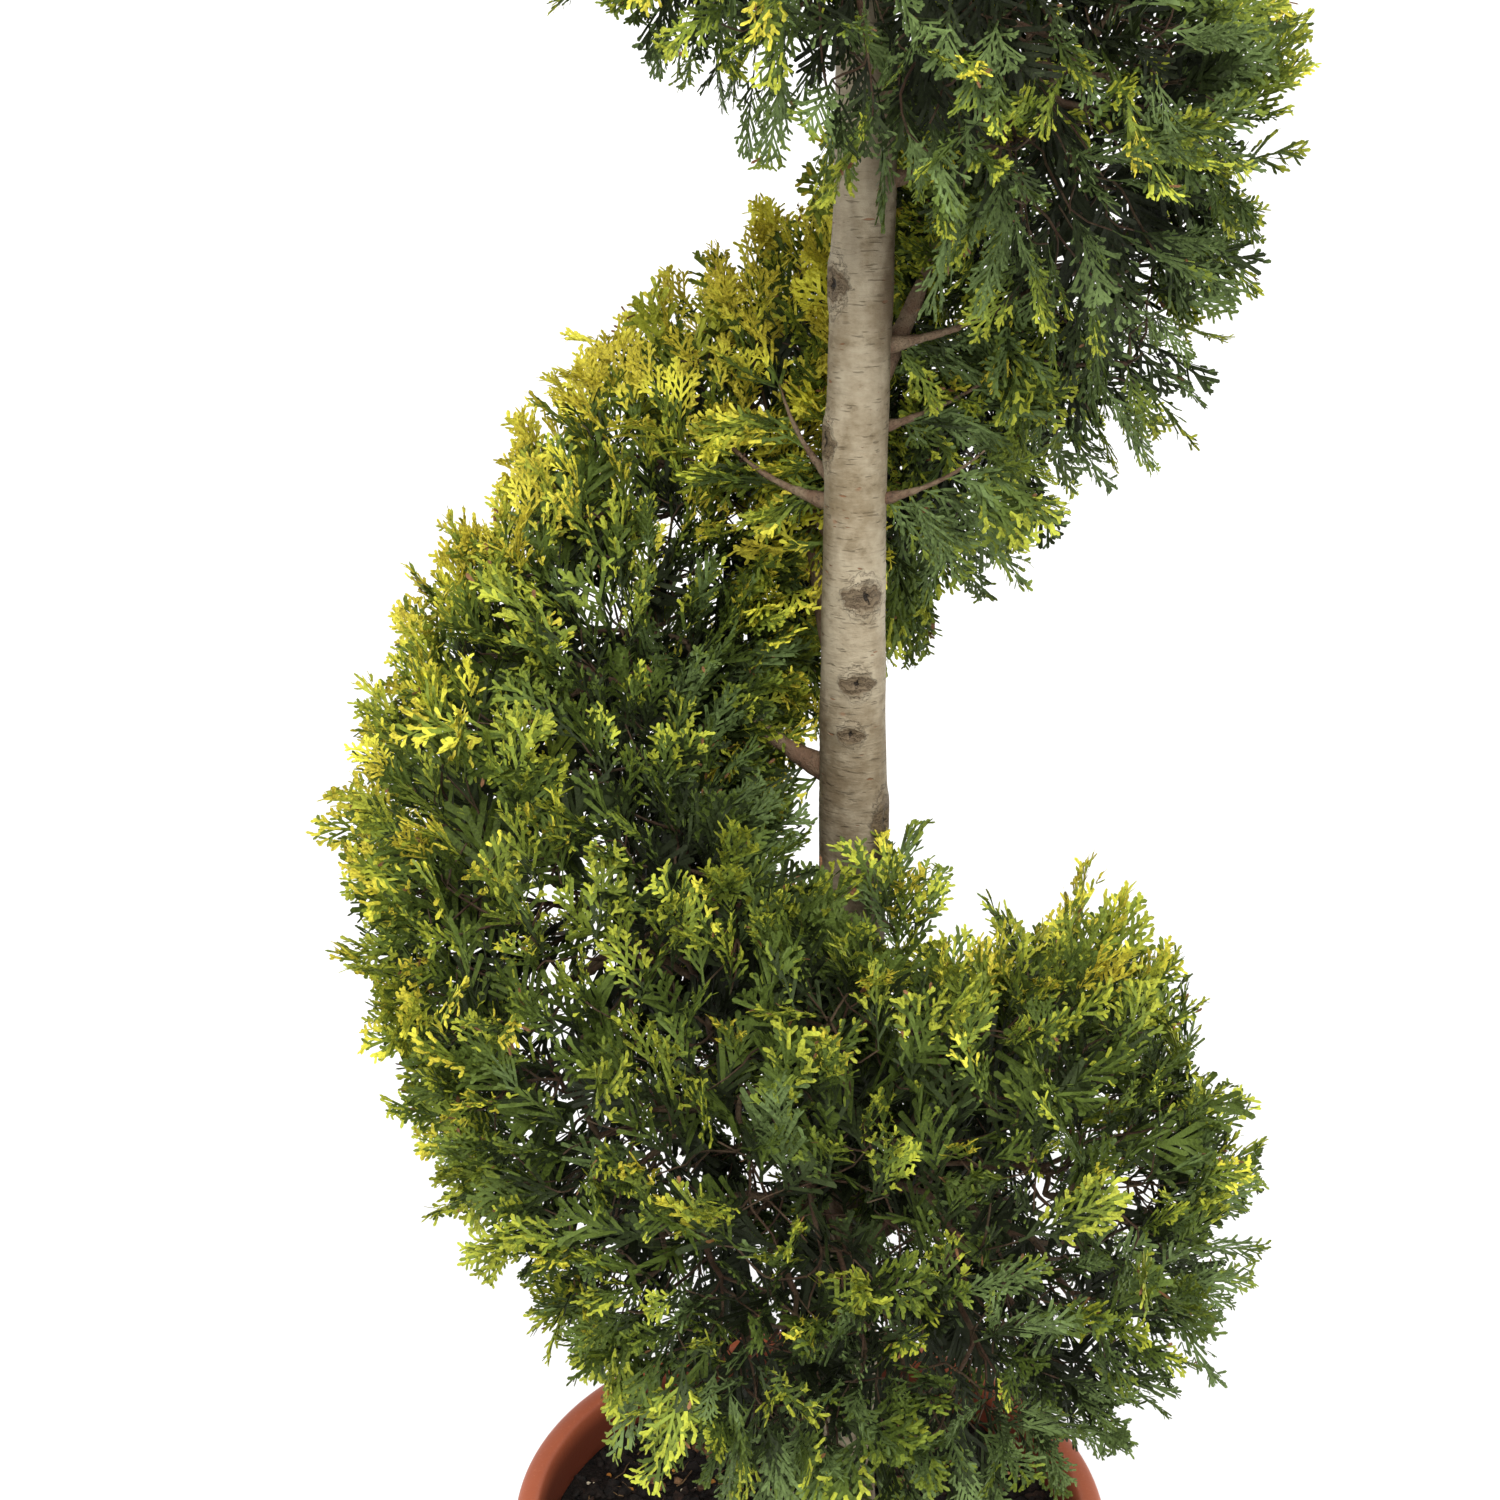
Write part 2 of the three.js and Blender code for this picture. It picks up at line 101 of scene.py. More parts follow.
# A socket that can stand in a sum, so that a formula is written as it is read.
class Wire:
    def __init__(self, paint, socket):
        self.paint = paint
        self.socket = socket

    def __add__(self, other):
        return self.paint.maths("ADD", self, other)

    def __sub__(self, other):
        return self.paint.maths("SUBTRACT", self, other)

    def __rsub__(self, other):
        return self.paint.maths("SUBTRACT", other, self)

    def __mul__(self, other):
        return self.paint.maths("MULTIPLY", self, other)

    def __truediv__(self, other):
        return self.paint.maths("DIVIDE", self, other)

    def __rtruediv__(self, other):
        return self.paint.maths("DIVIDE", other, self)

    def __abs__(self):
        return self.paint.maths("ABSOLUTE", self)

    __radd__, __rmul__ = __add__, __mul__

    def between(self, low, high):
        ends = {"From Min": low, "From Max": high, "Value": self}
        return self.paint.add("ShaderNodeMapRange", {"interpolation_type": "SMOOTHSTEP"}, ends)


# A material and what is added to its node tree.
class Paint:
    def __init__(self, name, **sockets):
        self.material = bpy.data.materials.new(name)
        self.material.use_nodes = True
        self.tree = self.material.node_tree
        self.shader = self.tree.nodes["Principled BSDF"]
        for socketName, value in sockets.items():
            self.shader.inputs[socketName.replace("_", " ")].default_value = value
        self.place = self.add("ShaderNodeTexCoord", {}, {}, "Object")

    def add(self, kind, settings, values, out=0):
        node = self.tree.nodes.new(kind)
        for name, value in settings.items():
            setattr(node, name, value)
        for name, value in values.items():
            if isinstance(value, Wire):
                self.tree.links.new(value.socket, node.inputs[name])
            else:
                node.inputs[name].default_value = value
        return Wire(self, node.outputs[out])

    def maths(self, operation, first, second=0):
        return self.add("ShaderNodeMath", {"operation": operation}, {0: first, 1: second})

    def stretched(self, scale, shift=(0, 0, 0)):
        values = {"Vector": self.place, "Scale": scale, "Location": shift}
        return self.add("ShaderNodeMapping", {}, values)

    def noise(self, vector, scale, detail=3, roughness=0.55):
        values = {"Vector": vector, "Scale": scale, "Detail": detail, "Roughness": roughness}
        return self.add("ShaderNodeTexNoise", {}, values)

    # Noise with a pace of its own, in waves to the metre, along x, y and z.
    def streaks(self, paces, detail, roughness, shift=(0, 0, 0)):
        return self.noise(self.stretched(paces, shift), 1, detail, roughness)

    def cells(self, vector, scale):
        return self.add("ShaderNodeTexVoronoi", {}, {"Vector": vector, "Scale": scale}, "Distance")

    def attribute(self, name):
        return self.add("ShaderNodeAttribute", {"attribute_name": name}, {}, "Fac")

    def mix(self, share, first, second):
        values = {"Factor": share}
        for socket, color in ((6, first), (7, second)):  # the color sockets of a Mix node
            values[socket] = color if isinstance(color, Wire) else (*color, 1)
        return self.add("ShaderNodeMix", {"data_type": "RGBA"}, values, 2)

    def bump(self, height, distance, strength=1.0):
        values = {"Height": height, "Distance": distance, "Strength": strength}
        return self.add("ShaderNodeBump", {}, values, "Normal")

    def feed(self, **wires):
        for name, wire in wires.items():
            self.tree.links.new(wire.socket, self.shader.inputs[name.replace("_", " ")])
        return self.material


# A color picked on a screen, 0 to 255, as the shader takes it.
def linear(*values):
    shares = [value / 255 for value in values]
    return tuple(v / 12.92 if v <= 0.04045 else ((v + 0.055) / 1.055) ** 2.4 for v in shares)


potColors = {
    "clay": linear(190, 101, 66),
    "pale": linear(208, 128, 92),
    "dusk": linear(146, 70, 45),
    "innerWallShade": linear(92, 42, 26),
}


def potPaint():
    paint = Paint("terracottaPlastic", Roughness=0.48, Specular_IOR_Level=0.4)
    broad = paint.noise(paint.place, 9, 4)
    specks = paint.noise(paint.place, 420, 2, 0.7)
    scuffs = paint.noise(paint.stretched((14, 14, 90)), 3, 4, 0.7).between(0.6, 0.74)
    color = paint.mix(broad.between(0.3, 0.75), potColors["dusk"], potColors["clay"])
    color = paint.mix(0.55, color, potColors["clay"])
    color = paint.mix(specks.between(0.55, 0.8) * 0.35, color, potColors["pale"])
    color = paint.mix(scuffs * 0.3, color, potColors["pale"])
    # Painted shade on the inside of the wall, deeper below the rim.
    color = paint.mix(paint.attribute("innerWallShade") * 0.92, color, potColors["innerWallShade"])
    relief = specks * 0.6 + broad * 0.4
    rough = broad * 0.14 + scuffs * 0.12 + 0.4
    return paint.feed(Base_Color=color, Roughness=rough, Normal=paint.bump(relief, 0.0006, 0.5))


soilColors = {"peat": linear(30, 20, 15), "wet": linear(13, 9, 7), "crumb": linear(60, 41, 29)}


def soilPaint():
    paint = Paint("peatCompost", Roughness=0.9, Specular_IOR_Level=0.25)
    clods = paint.noise(paint.place, 60, 6, 0.7)
    grains = paint.cells(paint.place, 420)
    fibres = paint.noise(paint.stretched((1, 3, 1)), 260, 3, 0.7)
    color = paint.mix(clods.between(0.35, 0.65), soilColors["wet"], soilColors["peat"])
    color = paint.mix(fibres.between(0.6, 0.78) * 0.6, color, soilColors["crumb"])
    relief = clods * 1.5 - grains * 0.8 + fibres * 0.5
    return paint.feed(Base_Color=color, Normal=paint.bump(relief, 0.004))


# One recipe for the loose bits on the soil, with a color of its own for each kind.
def bitPaint(name, color, dark, roughness=0.8):
    paint = Paint(name, Roughness=roughness, Specular_IOR_Level=0.3)
    patches = paint.noise(paint.place, 180, 4, 0.65)
    grains = paint.noise(paint.place, 900, 2, 0.6)
    mixed = paint.mix(patches.between(0.35, 0.65), linear(*dark), linear(*color))
    return paint.feed(Base_Color=mixed, Normal=paint.bump(patches + grains * 0.5, 0.0015))


barkColors = {
    "pale": linear(170, 158, 134),
    "beige": linear(130, 115, 89),
    "olive": linear(88, 75, 53),
    "russet": linear(134, 88, 56),
    "scar": linear(102, 86, 64),
    "shadeAndGrit": linear(76, 61, 45),
    "slitShade": linear(24, 18, 14),
}


def barkPaint():
    paint = Paint("smoothBark", Roughness=0.62, Specular_IOR_Level=0.3)
    broad = paint.streaks((30, 30, 14), 4, 0.6)
    mottle = paint.streaks((75, 75, 120), 6, 0.7)
    bands = paint.streaks((26, 26, 240), 4, 0.7)
    dashes = paint.streaks((95, 95, 760), 2, 0.5).between(0.63, 0.7)
    lenticels = paint.streaks((120, 120, 420), 1, 0.4, (3, 1, 2)).between(0.72, 0.77)
    drift = paint.streaks((44, 44, 9), 3, 0.55, (2, 5, 1))
    flecks = paint.cells(paint.stretched((1, 1, 1.5)), 80).between(0.2, 0.06)
    fleckZone = paint.noise(paint.place, 38, 2).between(0.54, 0.62)
    shadeMottling = (broad * 1.7 + mottle * 0.3).between(1.5, 0.6)
    coats = [
        (drift.between(0.48, 0.3) * 0.5, "olive"), (mottle.between(0.45, 0.3) * 0.3, "olive"),
        (bands.between(0.52, 0.72) * 0.26, "olive"), (dashes * 0.5, "olive"),
        (lenticels * 0.8, "russet"), (flecks * fleckZone * 0.6, "russet"),
        # Painted shade and shadow on the trunk, and the knot's darkening.
        (paint.attribute("paintedShadeAndKnot") * shadeMottling * 0.9, "shadeAndGrit"),
    ]

    # The eye of a healed scar: a lens with wrinkles round it and a slit in its middle.
    near = paint.attribute("eyeNear")
    warp = paint.streaks((170, 170, 170), 4, 0.65) - 0.5
    counterWarp = paint.streaks((230, 230, 230), 3, 0.65, (5, 2, 7)) - 0.5
    across = paint.attribute("eyeAcross") + warp * 1.3
    along = paint.attribute("eyeAlong") + counterWarp * 1.3
    squared = across * across
    narrowing = paint.maths("MAXIMUM", 1 - squared * 0.5, 0.14)
    off = abs(along) / narrowing + squared.between(1.0, 3.2) * 4
    eye = off.between(1.25, 0.8) * near
    ripple = paint.maths("SINE", off * 11 + warp * 9)
    wrinkles = ripple.between(0.1, 0.85) * off.between(2.7, 1.0) * near
    slit = (abs(across - 0.05) * 6.4 + abs(along - 0.1) * 1.8).between(1.25, 0.6) * near
    grit = paint.streaks((300, 300, 460), 4, 0.75)
    coats += [
        # The wrinkles are darkened in their furrows as painted shade, and the eye by its own grit.
        (eye * 0.88, "scar"), (wrinkles * grit.between(0.3, 0.6) * 0.42, "shadeAndGrit"),
        # The slit is painted near black as shade in the recess.
        (eye * grit.between(0.5, 0.66) * 0.5, "shadeAndGrit"), (slit * 0.9, "slitShade"),
    ]
    light = (broad * 0.6 + mottle * 0.4).between(0.36, 0.6)
    color = paint.mix(light, barkColors["beige"], barkColors["pale"])
    for share, name in coats:
        color = paint.mix(share, color, barkColors[name])
    relief = bands * 0.45 + mottle * 0.6 - dashes * 0.3 - lenticels * 0.3
    relief = relief + grit * 0.25 - wrinkles * 1.1 - slit * 1.5
    return paint.feed(Base_Color=color, Normal=paint.bump(relief, 0.0018, 0.9))


# The boughs' bark is greyer and the twigs' bark darker.
youngBarkColors = {
    "boughs": {"brown": (128, 110, 88), "red": (104, 80, 62), "dark": (54, 44, 35)},
    "twigs": {"brown": (84, 69, 50), "red": (76, 54, 39), "dark": (44, 36, 27)},
}


def youngBarkPaint(kind):
    colors = {name: linear(*color) for name, color in youngBarkColors[kind].items()}
    paint = Paint("youngBark_" + kind, Roughness=0.7, Specular_IOR_Level=0.3)
    patches = paint.noise(paint.place, 70, 4)
    flakes = paint.noise(paint.place, 480, 3, 0.7)
    color = paint.mix(patches.between(0.35, 0.65), colors["brown"], colors["red"])
    color = paint.mix(flakes.between(0.5, 0.72) * 0.75, color, colors["dark"])
    return paint.feed(Base_Color=color, Normal=paint.bump(flakes, 0.0016))


# The tints of the scale leaves; each spray takes one for its foot, its middle and its tips.
leafTints = {
    "shadow": (29, 36, 15),
    "deep": (44, 55, 22),
    "blue": (92, 110, 60),
    "mid": (80, 96, 35),
    "fresh": (114, 128, 43),
    "lime": (162, 168, 54),
    "gold": (212, 198, 66),
    "rust": (120, 84, 54),
}


def leafPaint(tint):
    here = linear(*leafTints[tint])
    paint = Paint("leaf_" + tint, Roughness=0.6, Specular_IOR_Level=0.2)
    scales = paint.noise(paint.place, 620, 2, 0.6)
    drift = paint.noise(paint.place, 34, 2)
    darker = tuple(value * 0.47 for value in here)
    lighter = tuple(min(1, value * 1.75 + 0.012) for value in here)
    color = paint.mix(scales.between(0.32, 0.62), darker, here)
    color = paint.mix(drift.between(0.42, 0.68) * 0.62, color, lighter)
    return paint.feed(Base_Color=color, Normal=paint.bump(scales, 0.0009, 0.7))


# The rule of the spiral, as in the part's source

pot = {
    "rimRadius": 180, "height": 300, "baseRadius": 128, "wall": 4, "floor": 5,
    "band": 38, "lip": 12, "soilDepth": 30,
}
soilTop = pot["height"] - pot["soilDepth"]
tree = {"x": 18.5, "radius": 19.5, "flare": 7, "top": 1405, "reach": 1580, "tuftTop": 1575}
spiral = {"start": -0.16, "waist": 1.44, "end": 2.36, "lowerMasses": 8, "upperMasses": 4}
coreDepth = 34
boughShare = 0.26

# By turn: middle height, above, below, rise of the outer side for each millimetre outwards.
ribbonRows = [
    (-0.16, 262, 98, 88, -0.35), (0, 288, 134, 125, -0.3), (0.25, 320, 172, 182, -0.25),
    (0.5, 474, 168, 208, 0), (0.75, 695, 146, 192, 0.15), (1, 895, 130, 170, 0.3),
    (1.25, 996, 112, 150, 0.2), (1.5, 1052, 98, 156, 0), (2, 1238, 78, 94, 0.1),
    (2.36, 1345, 58, 66, 0.1),
]
# By height: how far the outline stands from the spiral's axis.
crownRows = [
    (150, 205), (320, 258), (460, 286), (600, 268), (800, 221), (950, 174), (1250, 108),
    (1400, 74), (1560, 44),
]


# A smooth curve through rows whose first number is the key; it stays level outside them.
def smoothRows(rows):
    table = np.array(rows, float)
    keys, values = table[:, 0], table[:, 1:]
    last = len(keys) - 1
    keyBefore = np.concatenate([[2 * keys[0] - keys[1]], keys[:-2]])
    keyAfter = np.concatenate([keys[2:], [2 * keys[-1] - keys[-2]]])

    def valueAt(key):
        key = np.clip(np.asarray(key, float), keys[0], keys[-1])
        i = np.clip(np.searchsorted(keys, key, side="right") - 1, 0, last - 1)
        low, high = keys[i], keys[i + 1]
        half = (high - low) / 2
        pullBefore, pullAfter = half / (low - keyBefore[i]), half / (keyAfter[i] - high)
        share = (key - low) / (high - low)
        square, cube = share**2, share**3
        weights = (
            -pullBefore * cube + 2 * pullBefore * square - pullBefore * share,
            (1 + pullBefore) * cube - (1.5 + 2 * pullBefore) * square + (pullBefore - 0.5) * share + 1,
            -(1 + pullAfter) * cube + (1.5 + pullAfter) * square + 0.5 * share,
            pullAfter * cube - pullAfter * square,
        )
        previous = np.where(i == 0, 1, i - 1)
        following = np.where(i == last - 1, last - 1, i + 2)
        found = [values[previous], values[i], values[i + 1], values[following]]
        return sum(weight[..., None] * value for weight, value in zip(weights, found))

    return valueAt


ribbon = smoothRows(ribbonRows)
crown = smoothRows(crownRows)


def climb(turn):
    return ribbon(turn)[..., 0]


def reach(height):
    return crown(height)[..., 0]


def trunkCentre(height):
    height = np.asarray(height, float)
    x = tree["x"] + 1.2 * np.cos(height / 56 - 8.3)
    return np.stack([x, 2 * np.sin(height / 210), soilTop + height], -1)


def trunkRadiusAt(height):
    taper = 1 - (np.maximum(height, 0) / tree["reach"]) ** 2.4
    return tree["radius"] * taper + tree["flare"] * np.exp(-np.maximum(height, -20) / 32)


def spiralPoint(turn, radius, height):
    angle = -2 * pi * np.asarray(turn, float)
    x = tree["x"] + radius * np.cos(angle)
    return np.stack([x, radius * np.sin(angle), soilTop + height + 0 * angle], -1)


# An even spread of numbers from 0 to 1, the same for the same seed.
def spread(index, seed):
    return (index * 0.6180339887 + seed * 0.7548776662) % 1.0


def sprayScale(turn):
    return np.clip(0.45 + reach(climb(turn)) / 500, 0.55, 1)


def endTaper(turn):
    share = np.clip(np.minimum(turn - spiral["start"], spiral["end"] - turn) / 0.16, 0, 1)
    return 0.62 + 0.38 * share * share * (3 - 2 * share)


def coreSection(turn):
    height, above, below, slope = np.moveaxis(ribbon(turn), -1, 0)
    depth = coreDepth * sprayScale(turn)
    inner = reach(height) * boughShare + 8
    outer = reach(height) - depth
    taper = endTaper(turn)
    return {
        "height": height, "slope": slope, "radius": (inner + outer) / 2,
        "wide": (outer - inner) / 2 * taper,
        "up": (above - depth) * taper, "down": (below - depth) * taper,
    }


# A spot in the core's section: angle 0 looks out from the trunk and a quarter turn looks up.
def coreSpot(turn, angle, out):
    section = coreSection(turn)
    rounded = [np.sign(value) * np.abs(value) ** 0.8 for value in (np.cos(angle), np.sin(angle))]
    across = out * section["wide"] * rounded[0]
    rise = rounded[1] * np.where(np.sin(angle) > 0, section["up"], section["down"])
    height = section["height"] + out * rise + section["slope"] * across
    narrowing = reach(height) / reach(section["height"])
    return spiralPoint(turn, (section["radius"] + across) * narrowing, height)


def unit(vectors):
    return vectors / np.maximum(np.linalg.norm(vectors, axis=-1, keepdims=True), 1e-9)


# Level directions at a turn: out from the trunk, and onwards to the lower turns.
def levelWays(turn):
    level = -2 * pi * turn
    x, y, flat = np.cos(level), np.sin(level), 0 * level
    return np.stack([x, y, flat], -1), np.stack([y, -x, flat], -1)


def outwardAt(turn, angle):
    section = coreSection(turn)
    tall = np.where(np.sin(angle) > 0, section["up"], section["down"])
    away = np.cos(angle) / section["wide"]
    level = -2 * pi * turn
    return unit(np.stack([away * np.cos(level), away * np.sin(level), np.sin(angle) / tall], -1))


massBounds = list(np.linspace(spiral["start"], spiral["waist"], spiral["lowerMasses"] + 1))
massBounds += list(np.linspace(spiral["waist"], spiral["end"], spiral["upperMasses"] + 1))[1:]


# Meshes from arrays

def meshPiece(name, points, faces, material, smooth=True):
    points = np.asarray(points, np.float32)
    faces = np.asarray(faces, np.int32)
    mesh = bpy.data.meshes.new(name)
    mesh.vertices.add(len(points))
    mesh.vertices.foreach_set("co", (points * mm).astype(np.float32).ravel())
    mesh.loops.add(faces.size)
    mesh.loops.foreach_set("vertex_index", faces.ravel())
    mesh.polygons.add(len(faces))
    mesh.polygons.foreach_set("loop_start", np.arange(0, faces.size, faces.shape[1], dtype=np.int32))
    mesh.update(calc_edges=True)
    mesh.validate()
    mesh.polygons.foreach_set("use_smooth", np.full(len(faces), smooth))
    mesh.materials.append(material)
    piece = bpy.data.objects.new(name, mesh)
    bpy.context.scene.collection.objects.link(piece)
    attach(piece, "root")
    return piece


def joined(parts):
    points, faces, count = [], [], 0
    for partPoints, partFaces in parts:
        points.append(partPoints)
        faces.append(np.asarray(partFaces) + count)
        count += len(partPoints)
    return np.concatenate(points), np.concatenate(faces)


# Points of many copies of one shape, a row for each copy, and the shape's faces, as one mesh.
def oneMesh(placed, faces):
    copyCount, pointCount = placed.shape[:2]
    shifted = np.asarray(faces)[None] + (np.arange(copyCount) * pointCount)[:, None, None]
    return placed.reshape(-1, 3), shifted.reshape(-1, 3)


# Copies of one small shape: origins, three axes and scales are arrays with a row for each copy.
def copies(points, faces, origins, axes, scales):
    turned = np.einsum("vk,nkj->nvj", np.asarray(points, float), axes)
    return oneMesh(turned * scales[:, None, None] + origins[:, None, :], faces)


# A tube of triangles through rows of points with a radius at each; its tip is closed.
def tube(path, radii, sides):
    path = np.asarray(path, float)
    tangent = unit(np.gradient(path, axis=0))
    reference = np.array([0, 0, 1.0]) if abs(tangent[0][2]) < 0.9 else np.array([1.0, 0, 0])
    side = unit(np.cross(tangent, reference))
    rise = np.cross(side, tangent)
    angles = np.arange(sides) * 2 * pi / sides
    ring = np.cos(angles)[None, :, None] * side[:, None] + np.sin(angles)[None, :, None] * rise[:, None]
    points = path[:, None] + ring * np.asarray(radii)[:, None, None]
    count = len(path)
    rows = np.arange(count - 1)[:, None] * sides
    here = np.arange(sides)[None, :]
    following = (here + 1) % sides
    a, b = rows + here, rows + following
    c, d = a + sides, b + sides
    faces = [np.stack(corners, -1).reshape(-1, 3) for corners in ((a, b, d), (a, d, c))]
    top = (count - 1) * sides
    fan = np.array([[top, top + i, top + i + 1] for i in range(1, sides - 1)])
    return points.reshape(-1, 3), np.concatenate([*faces, fan])


# Modelling with Blender's own tools

def clearSelection():
    bpy.ops.object.select_all(action="DESELECT")


def applyModifier(piece, kind, **settings):
    modifier = piece.modifiers.new(kind.lower(), kind)
    for name, value in settings.items():
        setattr(modifier, name, value)
    bpy.context.view_layer.objects.active = piece
    bpy.ops.object.modifier_apply(modifier=modifier.name)


def uprightAxis(height):
    return 0, 0, height


# Raises a ring of edges through a profile of (radius, height) rows about an axis.
def raiseRings(profile, sides, axisAt=uprightAxis):
    radius, height = profile[0]
    centre = Vector(axisAt(height)) * mm
    bpy.ops.mesh.primitive_circle_add(vertices=sides, radius=radius * mm, location=centre)
    piece = bpy.context.object
    bpy.ops.object.mode_set(mode="EDIT")
    bpy.ops.mesh.select_all(action="SELECT")
    for nextRadius, nextHeight in profile[1:]:
        nextCentre = Vector(axisAt(nextHeight)) * mm
        step = {"value": nextCentre - centre}
        bpy.ops.mesh.extrude_region_move(TRANSFORM_OT_translate=step)
        share = nextRadius / radius
        bpy.ops.transform.resize(value=(share, share, 1), center_override=nextCentre)
        radius, centre = nextRadius, nextCentre
    bpy.ops.object.mode_set(mode="OBJECT")
    return piece


# Puts a piece's place into its mesh.
def settle(piece):
    bpy.context.view_layer.objects.active = piece
    piece.select_set(True)
    bpy.ops.object.transform_apply(location=True, rotation=True, scale=True)


# Turns the faces of a piece in edit mode outwards and subdivides them.
def subdivide(piece, kind="CATMULL_CLARK"):
    bpy.ops.mesh.select_all(action="SELECT")
    bpy.ops.mesh.normals_make_consistent(inside=False)
    bpy.ops.object.mode_set(mode="OBJECT")
    applyModifier(piece, "SUBSURF", levels=2, render_levels=2, subdivision_type=kind)
    settle(piece)


def finishPiece(piece, name, material):
    piece.name = piece.data.name = name
    piece.data.materials.clear()
    piece.data.materials.append(material)
    bpy.ops.object.shade_smooth()
    clearSelection()
    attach(piece, "root")
    return piece


def readPoints(piece):
    points = np.empty(len(piece.data.vertices) * 3, np.float32)
    piece.data.vertices.foreach_get("co", points)
    return points.reshape(-1, 3).astype(float) / mm


def writePoints(piece, points):
    piece.data.vertices.foreach_set("co", (points * mm).astype(np.float32).ravel())
    piece.data.update()


def writeAttribute(piece, name, values):
    layer = piece.data.attributes.new(name, "FLOAT", "POINT")
    layer.data.foreach_set("value", np.asarray(values, np.float32))


# Pot and soil

def potInside(z):
    share = (z - pot["floor"]) / (soilTop - pot["floor"])
    foot = pot["baseRadius"] - pot["wall"]
    return foot + (pot["rimRadius"] - pot["lip"] - 3 - foot) * share


# The wall's heights, and the outline as mm out from a radius and up from a height: the foot from
# the base's radius, the band and the lip's outside from the rim, the lip's inside from its own.
potOutline = {
    "foot": [(40, 0.6), (100, 0.6), (104, 0.05), (125, 0), (126.8, 0.6), (128, 3)],
    "wall": (8, 60, 120, 180, 230, 250),
    "band": [(-5.4, -0.6), (-4.8, 1.2), (-4.4, 14)],
    "lipOutside": [
        (-4.1, -16.5), (-3.2, -14), (1.9, -11.4), (3, -8.5), (2.6, -4.6), (0.3, -1.4), (-4.4, -0.1),
    ],
    "lipInside": [(3.4, -0.4), (1, -2.2), (0, -5)],
    # mm below the rim over which the painted shade on the inside of the wall deepens
    "innerShadeDepth": 14,
}


def potProfile():
    top, rim = pot["height"], pot["rimRadius"]
    band, lip = top - pot["band"], rim - pot["lip"]
    wallTop = potInside(band) + pot["wall"]
    widening = wallTop - pot["baseRadius"]
    profile = list(potOutline["foot"])
    profile += [(pot["baseRadius"] + widening * (z - 3) / (band - 9), z) for z in potOutline["wall"]]
    profile += [(wallTop, band - 6), (wallTop + 0.8, band - 4)]
    profile += [(rim + out, band + up) for out, up in potOutline["band"]]
    profile += [(rim + out, top + up) for out, up in potOutline["lipOutside"]]
    profile += [(lip + out, top + up) for out, up in potOutline["lipInside"]]
    profile.append((potInside(soilTop) + 1.2, soilTop + 12))
    profile += [(potInside(z), z) for z in (soilTop, soilTop - 8, 150, 20)]
    profile += [(potInside(pot["floor"]) - 3, pot["floor"]), (potOutline["foot"][0][0], pot["floor"])]
    return profile


def makePot():
    clearSelection()
    profile = potProfile()
    piece = raiseRings(profile, 48)
    bpy.ops.object.mode_set(mode="EDIT")
    opening = (profile[0][0] + 1) * mm
    for level in (profile[0][1], profile[-1][1]):  # the open middles of the underside and the floor
        bpy.ops.mesh.select_all(action="DESELECT")
        bpy.ops.object.mode_set(mode="OBJECT")
        for edge in piece.data.edges:
            ends = [piece.matrix_world @ piece.data.vertices[i].co for i in edge.vertices]
            edge.select = all(abs(p.z - level * mm) < 1e-6 and p.xy.length < opening for p in ends)
        bpy.ops.object.mode_set(mode="EDIT")
        bpy.ops.mesh.edge_face_add()
        bpy.ops.mesh.inset(thickness=12 * mm)
    subdivide(piece)
    x, y, z = readPoints(piece).T
    inside = np.hypot(x, y) < np.minimum(potInside(z), pot["rimRadius"] - pot["lip"]) + 1.1
    inside &= z > pot["floor"] - 0.4
    # Painted shade on the inside of the wall, darker deeper below the rim.
    innerShadeShare = np.clip((pot["height"] - 1.4 - z) / potOutline["innerShadeDepth"], 0, 1)
    writeAttribute(piece, "innerWallShade", innerShadeShare * inside)
    piece = finishPiece(piece, "nurseryPot", potPaint())
    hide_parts("pot")
    return piece


# Uneven ground from about -1 to 1, as a sum of waves of about one size in mm.
def lumps(x, y, size, seed):
    total = 0
    for i in range(7):
        heading = 2 * pi * spread(i, seed)
        pace = 2 * pi / (size * (0.6 + 0.9 * spread(i, seed + 3)))
        total = total + np.sin((x * cos(heading) + y * sin(heading)) * pace + 9 * spread(i, seed + 7))
    return total / 4


# All in mm: the heap round the trunk and its width, how far the edge sinks, from where and over
# what width, and the height and size of the coarse and the fine lumps.
ground = {
    "heap": 2.5, "heapWidth": 60, "sink": 2.2, "sinkFrom": 120, "sinkOver": 45,
    "coarse": (1.6, 70), "fine": (1.1, 19),
}


def soilHeight(x, y):
    heap = ground["heap"] * np.exp(-((x - tree["x"]) ** 2 + y**2) / ground["heapWidth"] ** 2)
    sunk = ground["sink"] * np.clip((np.hypot(x, y) - ground["sinkFrom"]) / ground["sinkOver"], 0, 1)
    (coarse, coarseSize), (fine, fineSize) = ground["coarse"], ground["fine"]
    height = soilTop - 1 + heap - sunk + coarse * lumps(x, y, coarseSize, 1)
    return height + fine * lumps(x, y, fineSize, 2)


def makeSoil():
    clearSelection()
    edge = potInside(soilTop - 6) - 0.2
    profile = [(potInside(20), 20), (potInside(150), 150), (edge - 0.6, soilTop - 9), (edge, soilTop - 3)]
    shares = (0.97, 0.92, 0.86, 0.79, 0.71, 0.62, 0.52, 0.41, 0.3, 0.2, 0.1, 0.03)
    profile += [(share * edge, soilTop) for share in shares]
    piece = raiseRings(profile, 64)
    bpy.ops.object.mode_set(mode="EDIT")
    bpy.ops.mesh.edge_face_add()  # the last small ring
    subdivide(piece, "SIMPLE")
    points = readPoints(piece)
    x, y, z = points.T
    onTop = (z > soilTop - 4) & (np.hypot(x, y) < edge - 0.3)
    points[:, 2] = np.where(onTop, soilHeight(x, y), z)
    writePoints(piece, points)
    piece = finishPiece(piece, "compost", soilPaint())
    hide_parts("soil")
    return piece


